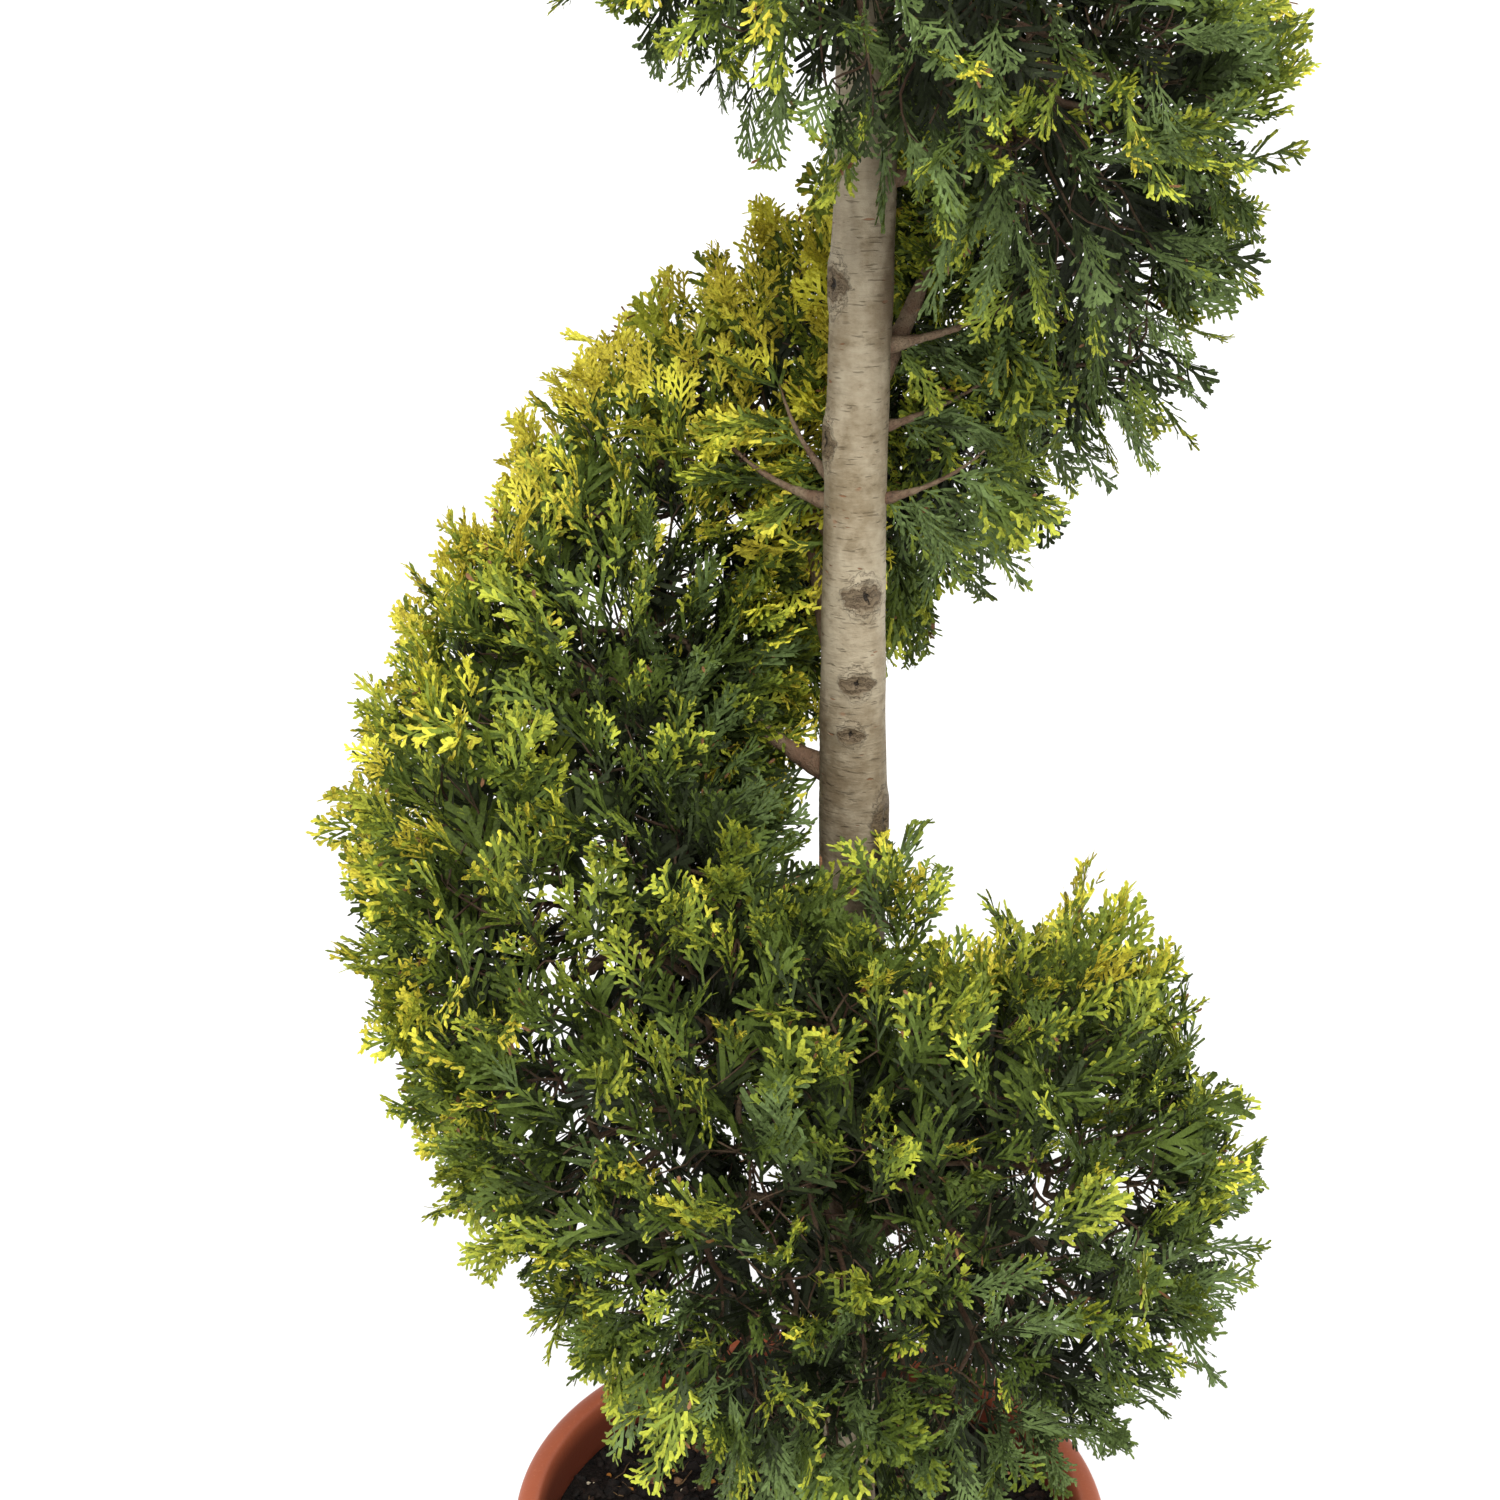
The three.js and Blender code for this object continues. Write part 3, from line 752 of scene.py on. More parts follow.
# By form: subdivisions, unevenness, dents, fine dents, width as a share, whether it is shaded smooth.
lumpForms = {
    "crumb": (1, 0.5, 0.28, 0, 0.8, True), "chip": (1, 0.5, 0.28, 0, 0.8, False),
    "grain": (1, 0.5, 0.28, 0, 1, True), "pellet": (2, 0.05, 0, 0, 1, True),
    "stone": (3, 0.5, 0.28, 0.09, 0.8, True),
}
# Form, count, smallest and largest size in mm, thickness as a share, color and its dark side.
soilBits = {
    "peatCrumbs": ("crumb", 3400, 1.4, 6, 0.7, (32, 23, 18), (13, 10, 8)),
    "barkChips": ("chip", 420, 2, 7, 0.35, (56, 38, 28), (22, 15, 12)),
    "paleChips": ("chip", 44, 3, 8, 0.35, (158, 120, 84), (92, 64, 42)),
    "whiteGrains": ("grain", 240, 0.9, 2.1, 0.9, (216, 206, 180), (176, 160, 130)),
    "amberPellets": ("pellet", 108, 1.5, 2.7, 1, (206, 146, 66), (166, 106, 42)),
    "pebbles": ("stone", 40, 3, 7, 0.65, (104, 72, 52), (52, 36, 26)),
    "stones": ("stone", 12, 7, 11, 0.6, (142, 98, 68), (62, 42, 30)),
}
bitVariants = 4
# How far loose bits lean, how much rarer the large ones are, and how high their middles lie.
strewn = {"lean": 0.28, "sizePower": 2.2, "raised": 0.35}


def lumpShape(seed, subdivisions, uneven, dents, fineDents):
    clearSelection()
    bpy.ops.mesh.primitive_ico_sphere_add(subdivisions=subdivisions, radius=1)
    piece = bpy.context.object
    points = np.array([v.co for v in piece.data.vertices])
    faces = np.array([tuple(p.vertices) for p in piece.data.polygons])
    for axis in range(3):
        points[:, axis] *= 1 + uneven * (spread(seed, axis + 40) - 0.5)
    points += dents * np.sin(points[:, [1, 2, 0]] * 3.1 + seed)
    points += fineDents * np.sin(points[:, [2, 0, 1]] * 9.3 + 2 * seed)
    bpy.data.objects.remove(piece)
    return points, faces


def makeSoilBits():
    rng = np.random.default_rng(11)
    edge = potInside(soilTop) - 4
    for name, (form, total, low, high, flat, color, dark) in soilBits.items():
        *shaping, width, smooth = lumpForms[form]
        parts = []
        for variant in range(bitVariants):
            points, faces = lumpShape(variant + 1, *shaping)
            count = total // bitVariants
            angle = rng.uniform(0, 2 * pi, count)
            away = edge * np.sqrt(rng.uniform(0, 1, count))
            x, y = away * np.cos(angle), away * np.sin(angle)
            size = low + (high - low) * rng.uniform(0, 1, count) ** strewn["sizePower"]
            keep = np.hypot(x, y) + size < edge + 3
            keep &= np.hypot(x - tree["x"], y) > tree["radius"] + tree["flare"] + size
            heading = rng.uniform(0, 2 * pi, count)
            lean = rng.normal(0, strewn["lean"], (count, 2))
            normal = unit(np.column_stack([lean, np.ones(count)]))
            ahead = np.column_stack([np.cos(heading), np.sin(heading), np.zeros(count)])
            across = unit(np.cross(normal, ahead))
            axes = np.stack([np.cross(across, normal), across, normal], 1)
            origins = np.column_stack([x, y, soilHeight(x, y) + size * flat * strewn["raised"]])
            parts.append(copies(points * (1, width, flat), faces, origins[keep], axes[keep], size[keep]))
        piece = meshPiece(name, *joined(parts), bitPaint(name, color, dark), smooth)


# How many sticks, how long and thick in mm and how bent, how many fallen sprays and their size
# against those on the plant, and their color and its dark side.
dryBits = {
    "count": 150, "lengths": (5, 20), "thick": (0.25, 0.6), "bend": 0.025,
    "sprays": 20, "spraySizes": (0.35, 0.7), "color": (134, 106, 70), "dark": (78, 58, 38),
}


# Dry sticks and fallen sprays on the soil.
def makeDryBits():
    rng = np.random.default_rng(21)
    edge = potInside(soilTop) - 12
    parts = []
    for i in range(dryBits["count"]):
        angle, away = rng.uniform(0, 2 * pi), edge * rng.uniform(0.22, 1) ** 0.5
        heading, length = rng.uniform(0, 2 * pi), rng.uniform(*dryBits["lengths"])
        t = np.linspace(-0.5, 0.5, 4)
        bend = dryBits["bend"] * length
        x = away * cos(angle) + length * t * cos(heading) + rng.normal(0, bend, 4)
        y = away * sin(angle) + length * t * sin(heading) + rng.normal(0, bend, 4)
        inside = np.max(np.hypot(x, y)) < edge + 8
        clear = np.min(np.hypot(x - tree["x"], y)) > tree["radius"] + tree["flare"] + 3
        if inside and clear:
            z = soilHeight(x, y) + 1.6 + rng.uniform(-0.4, 1.8, 4)
            parts.append(tube(np.stack([x, y, z], -1), np.full(4, rng.uniform(*dryBits["thick"])), 4))
    for i in range(dryBits["sprays"]):
        spray = makeSpray("small", 900 + i)
        angle, away = rng.uniform(0, 2 * pi), edge * rng.uniform(0.35, 0.9)
        heading, size = rng.uniform(0, 2 * pi), rng.uniform(*dryBits["spraySizes"])
        for points, faces in spray["zones"].values():
            x = away * cos(angle) + size * (points[:, 0] * cos(heading) - points[:, 1] * sin(heading))
            y = away * sin(angle) + size * (points[:, 0] * sin(heading) + points[:, 1] * cos(heading))
            tooFar = np.maximum(np.hypot(x, y) / (edge + 6), 1)
            x, y = x / tooFar, y / tooFar
            z = soilHeight(x, y) + 2.6 + size * points[:, 2] * 0.6
            parts.append((np.stack([x, y, z], -1), faces))
    points, faces = joined(parts)
    paint = bitPaint("dryBits", dryBits["color"], dryBits["dark"])
    meshPiece("dryBits", points, faces, paint)


# Trunk

# Turn, height, half width, half height and swelling of each healed scar on the front, in mm.
frontScars = [
    (0.42, 786, 7.6, 9, 3), (0.44, 705, 6.4, 9, 3), (0.2, 624, 9.4, 7.4, 1.4), (0.24, 576, 7.6, 5.6, 1.4),
    (0.27, 547, 6.4, 4.4, 1.4), (0.09, 495, 7.4, 11, 3),
]
upperScars = {"from": 1.05, "step": 0.17, "size": (8, 5, 1.4), "scatter": 60}
knotHeight = frontScars[-1][1]


def allScars():
    scars = list(frontScars)
    turn = upperScars["from"]
    while turn < spiral["end"] - 0.7:
        middle = (climb(turn) + climb(turn + 1)) / 2
        height = middle + upperScars["scatter"] * (spread(len(scars), 2) - 0.5)
        scars.append((turn, height, *upperScars["size"]))
        turn += upperScars["step"]
    return scars


# How far the bark stands out in mm, with swellings, flares over the roots and fine folds.
def trunkRelief(angle, height):
    swell = 0.45 * np.sin(angle * 2 + height / 60) + 0.35 * np.sin(angle * 3 - height / 37)
    swell += 0.22 * np.sin(height / 9 + 2 * np.sin(angle)) * np.sin(angle + height / 71)
    roots = 2.6 * np.exp(-np.maximum(height, 0) / 16) * np.maximum(0, np.sin(angle * 4 + 0.7))
    folds = 0.09 * np.sin(height * 1.3 + 3 * np.sin(angle * 2) + height / 23)
    folds += 0.08 * np.sin(height * 0.71 + 2 * np.sin(angle * 3 + height / 90) + 1)
    return swell + roots + folds * (0.5 + 0.5 * np.sin(height / 31 + angle))


# The swelling, lip, hollow and slit of a healed scar, across and along mm from its middle.
def scarRelief(across, along, halfWide, halfTall, swelling):
    halo = np.exp(-((across / (halfWide * 1.35)) ** 2 + (along / (halfTall * 1.6)) ** 2))
    lip = np.exp(-(((np.hypot(across / halfWide, along / halfTall) - 1.3) / 0.35) ** 2))
    hollow = np.exp(-((across / (halfWide * 0.8)) ** 2 + (along / (halfTall * 0.62)) ** 2))
    slit = np.exp(-(((across - 0.6) / 2) ** 2 + ((along - 0.6) / (halfTall * 0.5)) ** 2))
    return swelling * halo + 0.5 * lip * np.where(along > 0, 1, 0.5) - 0.7 * hollow - 1.9 * slit


# Painted shade on the trunk from 0 to 1: low down where the foliage shades it, at the left and back, a
# painted shadow on the upper right, and darker on the knot.
def paintedShadeAndKnotAt(angle, height, fromEye):
    shaded = 0.55 - 0.45 * np.cos(angle - 0.4)
    paintedShadeAndKnot = np.clip((640 - height) / 210, 0, 1) * (0.35 + 0.65 * shaded)
    paintedShadeAndKnot += 0.45 * np.exp(-((np.abs(angle) - pi) / 0.75) ** 2)
    paintedShadeAndKnot += 1.2 * np.clip((height - 690) / 110, 0, 1) * np.exp(-(((angle + 0.4) / 0.8) ** 2))
    paintedShadeAndKnot += np.where(np.abs(height - knotHeight) < 30, 0.8, 0) * np.exp(-((fromEye / 1.3) ** 2))
    return np.clip(paintedShadeAndKnot, 0, 1)


trunkMesh = {"from": -7, "ringGap": 6.0, "sides": 20}


def makeTrunk():
    clearSelection()
    heights = np.arange(trunkMesh["from"], tree["top"] + 5, trunkMesh["ringGap"])
    rings = [(trunkRadiusAt(height), height) for height in heights]
    piece = raiseRings(rings, trunkMesh["sides"], trunkCentre)
    bpy.ops.object.mode_set(mode="EDIT")
    bpy.ops.mesh.edge_face_add()
    subdivide(piece)
    points = readPoints(piece)
    height = points[:, 2] - soilTop
    centre = trunkCentre(height)
    dx, dy = points[:, 0] - centre[:, 0], points[:, 1] - centre[:, 1]
    angle, radius = np.arctan2(dy, dx), np.maximum(np.hypot(dx, dy), 1e-6)
    moved = trunkRelief(angle, height)
    eyeAcross, eyeAlong = np.full((2, len(points)), 9.0)  # from the nearest scar, in its half sizes
    for turn, scarHeight, halfWide, halfTall, swelling in allScars():
        away = angle + 2 * pi * turn
        across = (away - 2 * pi * np.round(away / (2 * pi))) * radius
        along = height - scarHeight
        moved += scarRelief(across, along, halfWide, halfTall, swelling)
        across, along = np.clip(across / halfWide, -9, 9), np.clip(along / halfTall, -9, 9)
        nearer = np.hypot(across, along) < np.hypot(eyeAcross, eyeAlong)
        eyeAcross, eyeAlong = np.where(nearer, across, eyeAcross), np.where(nearer, along, eyeAlong)
    points[:, 0] += dx / radius * moved
    points[:, 1] += dy / radius * moved
    writePoints(piece, points)
    fromEye = np.hypot(eyeAcross, eyeAlong)
    writeAttribute(piece, "eyeAcross", eyeAcross)
    writeAttribute(piece, "eyeAlong", eyeAlong)
    writeAttribute(piece, "eyeNear", np.clip((2.7 - fromEye) / 0.7, 0, 1))
    # Painted shade and shadow on the trunk, and the knot's darkening.
    writeAttribute(piece, "paintedShadeAndKnot", paintedShadeAndKnotAt(angle, height, fromEye))
    piece = finishPiece(piece, "trunkBark", barkPaint())
    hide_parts("trunk")
    return piece


# Boughs

def bezier(root, bend, end, steps):
    t = np.linspace(0, 1, steps)[:, None]
    return (1 - t) ** 2 * root + 2 * t * (1 - t) * bend + t**2 * end


# Where in its mass a bough stands and how far below the middle it leaves the trunk, as shares.
pairOfBoughs = [(0.27, 0.52), (0.73, 0.16)]
singleBough = [(0.5, 0.36)]
# A bough's thickness in mm, and the mm of the crown's reach that add one more; where on its way
# it bends and how much it has risen there, as shares; how much it tapers, and its points.
boughForm = {"thick": 2.4, "reachForOne": 85, "bendAt": 0.6, "risen": 0.3, "taper": 0.62, "steps": 32}
thinBoughForm = {"risen": 0.15, "taper": 0.95, "turning": 0.02}


def massBoughs(index):
    fromTurn, toTurn = massBounds[index], massBounds[index + 1]
    found = []
    for share, drop in pairOfBoughs if index < spiral["lowerMasses"] else singleBough:
        turn = fromTurn + (toTurn - fromTurn) * share
        middle, fullReach = climb(turn), reach(climb(turn))
        endRadius = fullReach * boughShare
        thick = boughForm["thick"] + fullReach / boughForm["reachForOne"]
        rootHeight = middle - drop * ribbon(turn)[2]
        root = trunkCentre(rootHeight)
        end = spiralPoint(turn, endRadius, middle - 4)
        bendHeight = rootHeight + boughForm["risen"] * (middle - rootHeight)
        bend = spiralPoint(turn, endRadius * boughForm["bendAt"], bendHeight)
        path = bezier(root, bend, end, boughForm["steps"])
        found.append({"path": path, "thick": thick, "taper": boughForm["taper"], "turn": turn})
    return found


# Turn, height and thickness at the trunk, how far it goes out and how far it rises.
thinBoughs = [
    (0.56, 668, 3.0, 70, 20), (0.6, 676, 2.2, 56, 50), (0.02, 671, 1.9, 66, 32),
    (0.97, 752, 2.9, 66, 16), (1.02, 834, 2.6, 100, 60), (0.94, 708, 1.9, 76, 28),
    (1.3, 930, 2.4, 76, 34), (1.58, 1010, 2.2, 66, 42), (0.66, 640, 2.4, 84, 48),
]


def thinBough(turn, height, thick, out, rise):
    root = trunkCentre(height)
    bend = spiralPoint(turn, out * boughForm["bendAt"], height + rise * thinBoughForm["risen"])
    end = spiralPoint(turn + thinBoughForm["turning"], out, height + rise)
    path = bezier(root, bend, end, boughForm["steps"])
    turn = 1.0 if turn < 0.5 else turn  # the ribbon passes here one turn up
    return {"path": path, "thick": thick, "taper": thinBoughForm["taper"], "turn": turn}


# Small bumps of about one size in mm on a limb's bark.
def roughened(points, faces, size, seed):
    wave = np.sin(points * (2 * pi / size) + seed)
    shift = np.stack([wave[:, 1] * wave[:, 2], wave[:, 2] * wave[:, 0], wave[:, 0] * wave[:, 1]], -1)
    return points + 0.22 * shift, faces


def makeBoughs(allBoughs):
    parts = []
    for number, bough in enumerate(allBoughs):
        path, thick = bough["path"], bough["thick"]
        along = np.linspace(0, 1, len(path))
        away = np.linalg.norm(path[:, :2] - path[0, :2], axis=1)
        collar = (0.8 + 0.26 * thick) * np.exp(-np.maximum(away - tree["radius"], 0) / 5)
        knots = 1 + 0.09 * np.sin(away / 4.3 + number) + 0.06 * np.sin(away / 1.9 + 2 * number)
        radii = thick * (1.2 - bough["taper"] * along) * knots + collar
        parts.append(roughened(*tube(path, radii, 10), 4.1, number))
    points, faces = joined(parts)
    piece = meshPiece("boughBark", points, faces, youngBarkPaint("boughs"))
    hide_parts(*boughNodes)
    return piece


# Sprays of scale leaves

# A spray lies about its own plane: x along it, y across it and z out of it, in millimetres.
# Its shoots are gathered in zones, which take their tints apart. A few of its lobes may be dead.
class Spray:
    def __init__(self):
        self.zones = {"foot": ([], []), "middle": ([], []), "tip": ([], []), "dead": ([], [])}

    # A cord of scale leaves through rows of x, y, z and heading, with a raised middle line or flat.
    # It is rolled a little out of the spray's plane, so that it shows from the edge too.
    def cord(self, zone, path, widths, closed, raised=True, roll=0):
        points, faces = self.zones[zone]
        first, step = len(points), 3 if raised else 2
        for (x, y, z, heading), width in zip(path, widths):
            dx, dy, dz = -sin(heading) * width / 2, cos(heading) * width / 2, roll * width / 2
            middle = [(x, y, z + width * 0.34)] if raised else []
            points.extend([(x + dx, y + dy, z + dz)] + middle + [(x - dx, y - dy, z - dz)])
        for i in range(len(path) - 1):
            for a in range(first + step * i, first + step * i + step - 1):
                faces.extend([(a, a + 1, a + 1 + step), (a, a + 1 + step, a + step)])
        if closed:  # with a blunt end
            x, y, z, heading = path[-1]
            ahead = widths[-1] * 0.45
            last = len(points)
            points.append((x + cos(heading) * ahead, y + sin(heading) * ahead, z))
            faces.extend((a, a + 1, last) for a in range(last - step, last - 1))

    # A short side lobe like a blunt finger.
    def lobe(self, zone, start, heading, length, width, rise, roll=0):
        points, faces = self.zones[zone]
        first = len(points)
        for share, side in ((0, 0.32), (0.78, 0.5), (1, 0.05), (0.8, -0.44), (0, -0.32)):
            x = start[0] + cos(heading) * length * share - sin(heading) * width * side
            y = start[1] + sin(heading) * length * share + cos(heading) * width * side
            points.append((x, y, start[2] + rise * length * share + roll * width * side))
        faces.extend((first, first + i + 1, first + i) for i in range(1, 4))


# A curved line in the spray: rows of x, y, z and heading, one for each share of its length.
def shootLine(start, heading, length, shares, bend, slope):
    x, y, z = start
    rows, last = [], 0.0
    for share in shares:
        turned = heading + bend * (share + last) / 2
        x += cos(turned) * length * (share - last)
        y += sin(turned) * length * (share - last)
        z += slope * length * (share - last) * (1 - 0.5 * share)
        rows.append((x, y, z, heading + bend * share))
        last = share
    return rows


# The kinds of spray, in mm and degrees: how many side shoots and the longest of them, how they
# leave the middle shoot, how far they stray out of the plane, and from which share the tips ripen.
sprayColumns = ("length", "shoots", "side", "width", "lobes", "leave", "stray", "ripe")
sprayKinds = {
    "fan": (62, 14, 25, 2.2, 5, (30, 44), 0.26, 0.15),
    "plume": (54, 13, 19, 2.2, 5, (26, 42), 0.36, 0.15),
    "comb": (76, 18, 27, 2.2, 3, (24, 36), 0.16, 0.55),
    "small": (42, 11, 16, 2.1, 4, (28, 44), 0.3, 0.15),
    "under": (64, 14, 26, 2.6, 2, (28, 46), 0.3, 0),
    "inner": (66, 16, 30, 3.4, 0, (28, 50), 0.35, 0),
}
plainKinds = ("under", "inner")  # they are seldom seen whole, so their shoots are flat
fullness = ([0.08, 0.3, 0.5, 0.75, 1], [0.7, 1, 0.98, 0.74, 0.34])  # of the side shoots, along a spray
spineShares = [0, 0.28, 0.55, 0.78, 1]
lobeForm = {"lengths": (5.4, 8.8), "leave": (26, 46), "widths": (0.85, 1.1), "from": 0.34, "dead": 0.1}
endLobe = {"length": 5.6, "back": 3.5, "leave": 0.6}


# The lobes stand on the two sides of a side shoot in turn; a few of those at the tips are dead.
def addLobes(spray, rng, size, line, stations, share, side, slope, zones):
    rows = np.array(line)
    lobes = int(round(size["lobes"] * share + rng.uniform(-0.3, 0.5)))
    for k in range(lobes):
        spot = lobeForm["from"] + 0.6 * (k + rng.uniform(0.1, 0.7)) / lobes
        *start, heading = [np.interp(spot, stations, rows[:, column]) for column in range(4)]
        side = -side
        length = rng.uniform(*lobeForm["lengths"]) * (1.25 - 0.6 * spot)
        heading += side * radians(rng.uniform(*lobeForm["leave"]))
        rise = slope * 0.5 + rng.normal(0, 0.32)
        zone = zones[1] if spot > 0.64 else zones[0]
        if zone == "tip" and rng.random() < lobeForm["dead"]:
            zone = "dead"
        width = size["width"] * rng.uniform(*lobeForm["widths"])
        spray.lobe(zone, start, heading, length, width, rise, 0.5 * side)


def makeSpray(kind, seed):
    rng = np.random.default_rng(seed)
    size = dict(zip(sprayColumns, sprayKinds[kind]))
    rich = kind not in plainKinds
    spray, length, width = Spray(), size["length"], size["width"]
    sway = rng.uniform(-0.3, 0.3)
    spine = shootLine((0, 0, 0), -sway / 2, length * 0.97, spineShares, sway, 0)
    spineRows = np.array(spine)
    spray.cord("foot", spine[:3], [width * 0.7, width * 0.8, width * 0.9], False, rich)
    spray.cord("middle", spine[2:4], [width * 0.9, width], False, rich)
    spray.cord("tip" if rich else "middle", spine[3:], [width, width * 0.9], True, rich)
    side = 1 if rng.random() < 0.5 else -1
    for i in range(size["shoots"]):
        share = 0.1 + 0.84 * (i + rng.uniform(-0.25, 0.25)) / size["shoots"]
        *start, heading = (np.interp(share, spineShares, spineRows[:, column]) for column in range(4))
        side = -side
        reachOut = size["side"] * np.interp(share, *fullness) * rng.uniform(0.78, 1.16)
        heading += side * radians(rng.uniform(*size["leave"]))
        bend = -side * rng.uniform(0.0, 0.45)
        slope = rng.normal(0, size["stray"])
        zone, tipZone = "foot" if share < 0.3 else "middle", "tip"
        roll = side * (0.5 if i % 4 < 2 else -0.5)
        stations = [0, 0.62, 0.94] if rich else [0, 0.94]
        line = shootLine(start, heading, reachOut, stations, bend, slope)
        if rich:
            if share <= size["ripe"] + rng.uniform(-0.1, 0.2):
                tipZone = "middle"
            spray.cord(zone, line[:2], [width * 0.75, width * 0.95], False, False, roll)
            spray.cord(tipZone, line[1:], [width * 0.95, width * 0.95], True, True, roll)
        else:
            spray.cord(zone, line, [width * 0.75, width], True, False, roll)
        share = reachOut / size["side"]
        addLobes(spray, rng, size, line, stations, share, side, slope, (zone, tipZone))
    x, y, z, heading = spine[-1]
    start = (x - cos(heading) * endLobe["back"], y - sin(heading) * endLobe["back"], z)
    for hand in (-1, 1):
        turned = heading + hand * endLobe["leave"]
        spray.lobe("tip", start, turned, endLobe["length"], width, rng.normal(0, 0.25))
    grown = [(zone, *shape) for zone, shape in spray.zones.items() if shape[1]]
    zones = {zone: (np.array(points), np.array(faces)) for zone, points, faces in grown}
    return {"length": length, "zones": zones}


# What shapes each copy of a spray.
sprayBends = ("size", "hand", "cup", "wave", "droop", "twist")


# The same spray in many places. Each copy droops, cups, twists and may be mirrored.
def laidSprays(points, length, at):
    size, hand, cup, wave, curve, twist = (at[key][:, None] for key in sprayBends)
    x, y, z = points[None, :, 0] * size, points[None, :, 1] * (size * hand), points[None, :, 2] * size
    full = length * size
    z = z - cup * y**2 / full - wave * np.sin(x * 6 / full) * y / 6
    turned = curve * x / full
    ahead = np.sin(turned) * full / curve + z * np.sin(turned)
    out = -(1 - np.cos(turned)) * full / curve + z * np.cos(turned)
    rolled = twist * x / full
    aside = y * np.cos(rolled)
    out = out + y * np.sin(rolled)
    steps = zip((ahead, aside, out), (at["along"], at["across"], at["normal"]))
    placed = sum(step[..., None] * way[:, None] for step, way in steps)
    return placed + at["root"][:, None]


# The layers of sprays in a mass from the skin inwards: their share of the core, mm² to each
# spray, tilt from the skin's normal, light, and the share of outlineDepth that their tips may take.
layers = [
    {"out": (0.93, 1.06), "patch": 680, "tilt": (0.3, 1.15), "light": 0, "past": 1},
    {"out": (0.74, 0.93), "patch": 730, "tilt": (0.2, 1.1), "light": -0.32, "past": 0.6},
    {"out": (0.36, 0.7), "patch": 540, "tilt": (0.2, 1.45), "light": -0.55, "past": 0.05},
]
outlineDepth = 44  # mm past the core's skin that an outer spray's tip may stand, before scaling
longSprays = {"share": 0.16, "more": 0.34}  # how many outer sprays stand out further, and how far


# By turn: how much lighter and how much cooler the sprays are than their place alone makes them.
toneRows = [
    (-0.16, 0.02, -0.1), (0, -0.06, -0.1), (0.25, -0.12, 0.1), (0.5, -0.03, -0.1), (0.58, 0.3, -0.3),
    (0.68, 0.92, -0.6), (0.78, 0.45, -0.2), (0.86, 0.18, 0.4), (1.0, 0.24, 0.4), (1.25, 0.14, 0.35),
    (1.5, 0.06, 0), (2.36, 0.06, 0),
]
tone = smoothRows(toneRows)
# Upright sprays on the first turn's right side: mm that they reach further, and how steep they are.
crest = {"turn": -0.03, "spread": 0.075, "room": 26, "lift": 1.6}
# What adds to a spray's light or takes from it. The last two have a number for each layer: how
# much of the tones reaches it, and the least light on it.
lightRule = {
    "base": 0.5, "upper": 0.18, "outer": 0.18, "right": 0.14, "upwards": 0.26, "patches": 0.17,
    "scatter": 0.16, "crest": 0.04, "loose": 0.12,
    "tones": (1, 0.55, 0.25), "least": (0.19, 0.1, -9.0),
}
# The same for how cool its green is.
coolRule = {"base": 0.15, "right": 0.7, "upper": 0.8, "scatter": 0.4}
# How far sprays stray from the upward heading, roll round their length and vary in reach.
posture = {"heading": 0.62, "roll": 0.65, "reach": (0.78, 1.02)}
tuft = {"sprays": 130, "radius": 24, "room": 44.0, "scale": 0.6, "light": 0.7, "cool": -0.5}


# Where the crown is clipped closer: turn, its spread, angle, its spread, share cut off.
trims = [
    (-0.02, 0.1, 0.72, 0.55, 0.42), (-0.04, 0.09, 0.42, 0.42, 0.34), (-0.08, 0.12, 0.1, 0.5, 0.08),
    (-0.01, 0.06, 1.45, 0.38, 0.24), (0.03, 0.04, 2.1, 0.35, -0.28), (0.04, 0.05, 0.1, 0.3, 0.26),
    (0.44, 0.06, -0.75, 0.45, 0.26), (0.46, 0.05, -0.33, 0.25, -0.08), (0.48, 0.05, 0.08, 0.3, 0.2),
    (0.58, 0.07, 0.5, 0.5, 0.12), (0.61, 0.04, 1.2, 0.3, -0.1), (0.73, 0.06, 1.3, 0.7, 0.16),
    (0.89, 0.05, -1.7, 0.3, 0.12), (0.92, 0.06, -0.85, 0.5, 0.16), (0.96, 0.05, -1.4, 0.3, -0.08),
    (1.04, 0.07, -0.98, 0.32, 0.46), (1.03, 0.06, -0.3, 0.22, -0.12), (1.06, 0.1, 0.2, 0.6, 0.08),
    (1.42, 0.14, -0.95, 0.55, 0.26), (1.4, 0.06, -1.6, 0.3, 0.1),
]
# Loose tufts: turn, radius, height, how many, outwards, upwards, mm that they reach.
strays = [
    (0.18, 52, 436, 9, 0.6, 1, 80), (0.41, 170, 247, 8, 1, -0.3, 46), (0.11, 142, 318, 7, 1, 0, 54),
]
# How many sprays a thin and a main bough carry, from which share of it, and mm that they reach.
onBoughs = {"thin": 10, "main": 9, "thinBelow": 3.5, "from": 0.16, "room": 56.0}
# At the ribbon's two ends: the share of the sprays that stands on the end's face, and which way.
ribbonEnds = {0: (0.3, -1), len(massBounds) - 2: (0.2, 1)}


def trimmed(turn, angle):
    share = 1 - 0.06 * np.sin(2 * angle) ** 2
    for atTurn, turnSpread, atAngle, angleSpread, cut in trims:
        gap = (angle - atAngle + pi) % (2 * pi) - pi
        near = np.exp(-(((turn - atTurn) / turnSpread) ** 2) - (gap / angleSpread) ** 2)
        share = share * (1 - cut * near)
    return share


# Angles round a section that stand evenly along its outline.
def evenAngles(turn, shares):
    angles = np.linspace(0, 2 * pi, 181)
    outline = coreSpot(np.full(181, turn), angles, 1)
    steps = np.concatenate([[0], np.cumsum(np.linalg.norm(np.diff(outline, axis=0), axis=1))])
    return np.interp(shares, steps / steps[-1], angles)


def rotated(vectors, axes, angles):
    c, s = np.cos(angles)[:, None], np.sin(angles)[:, None]
    dot = np.sum(vectors * axes, -1, keepdims=True)
    return vectors * c + np.cross(axes, vectors) * s + axes * dot * (1 - c)


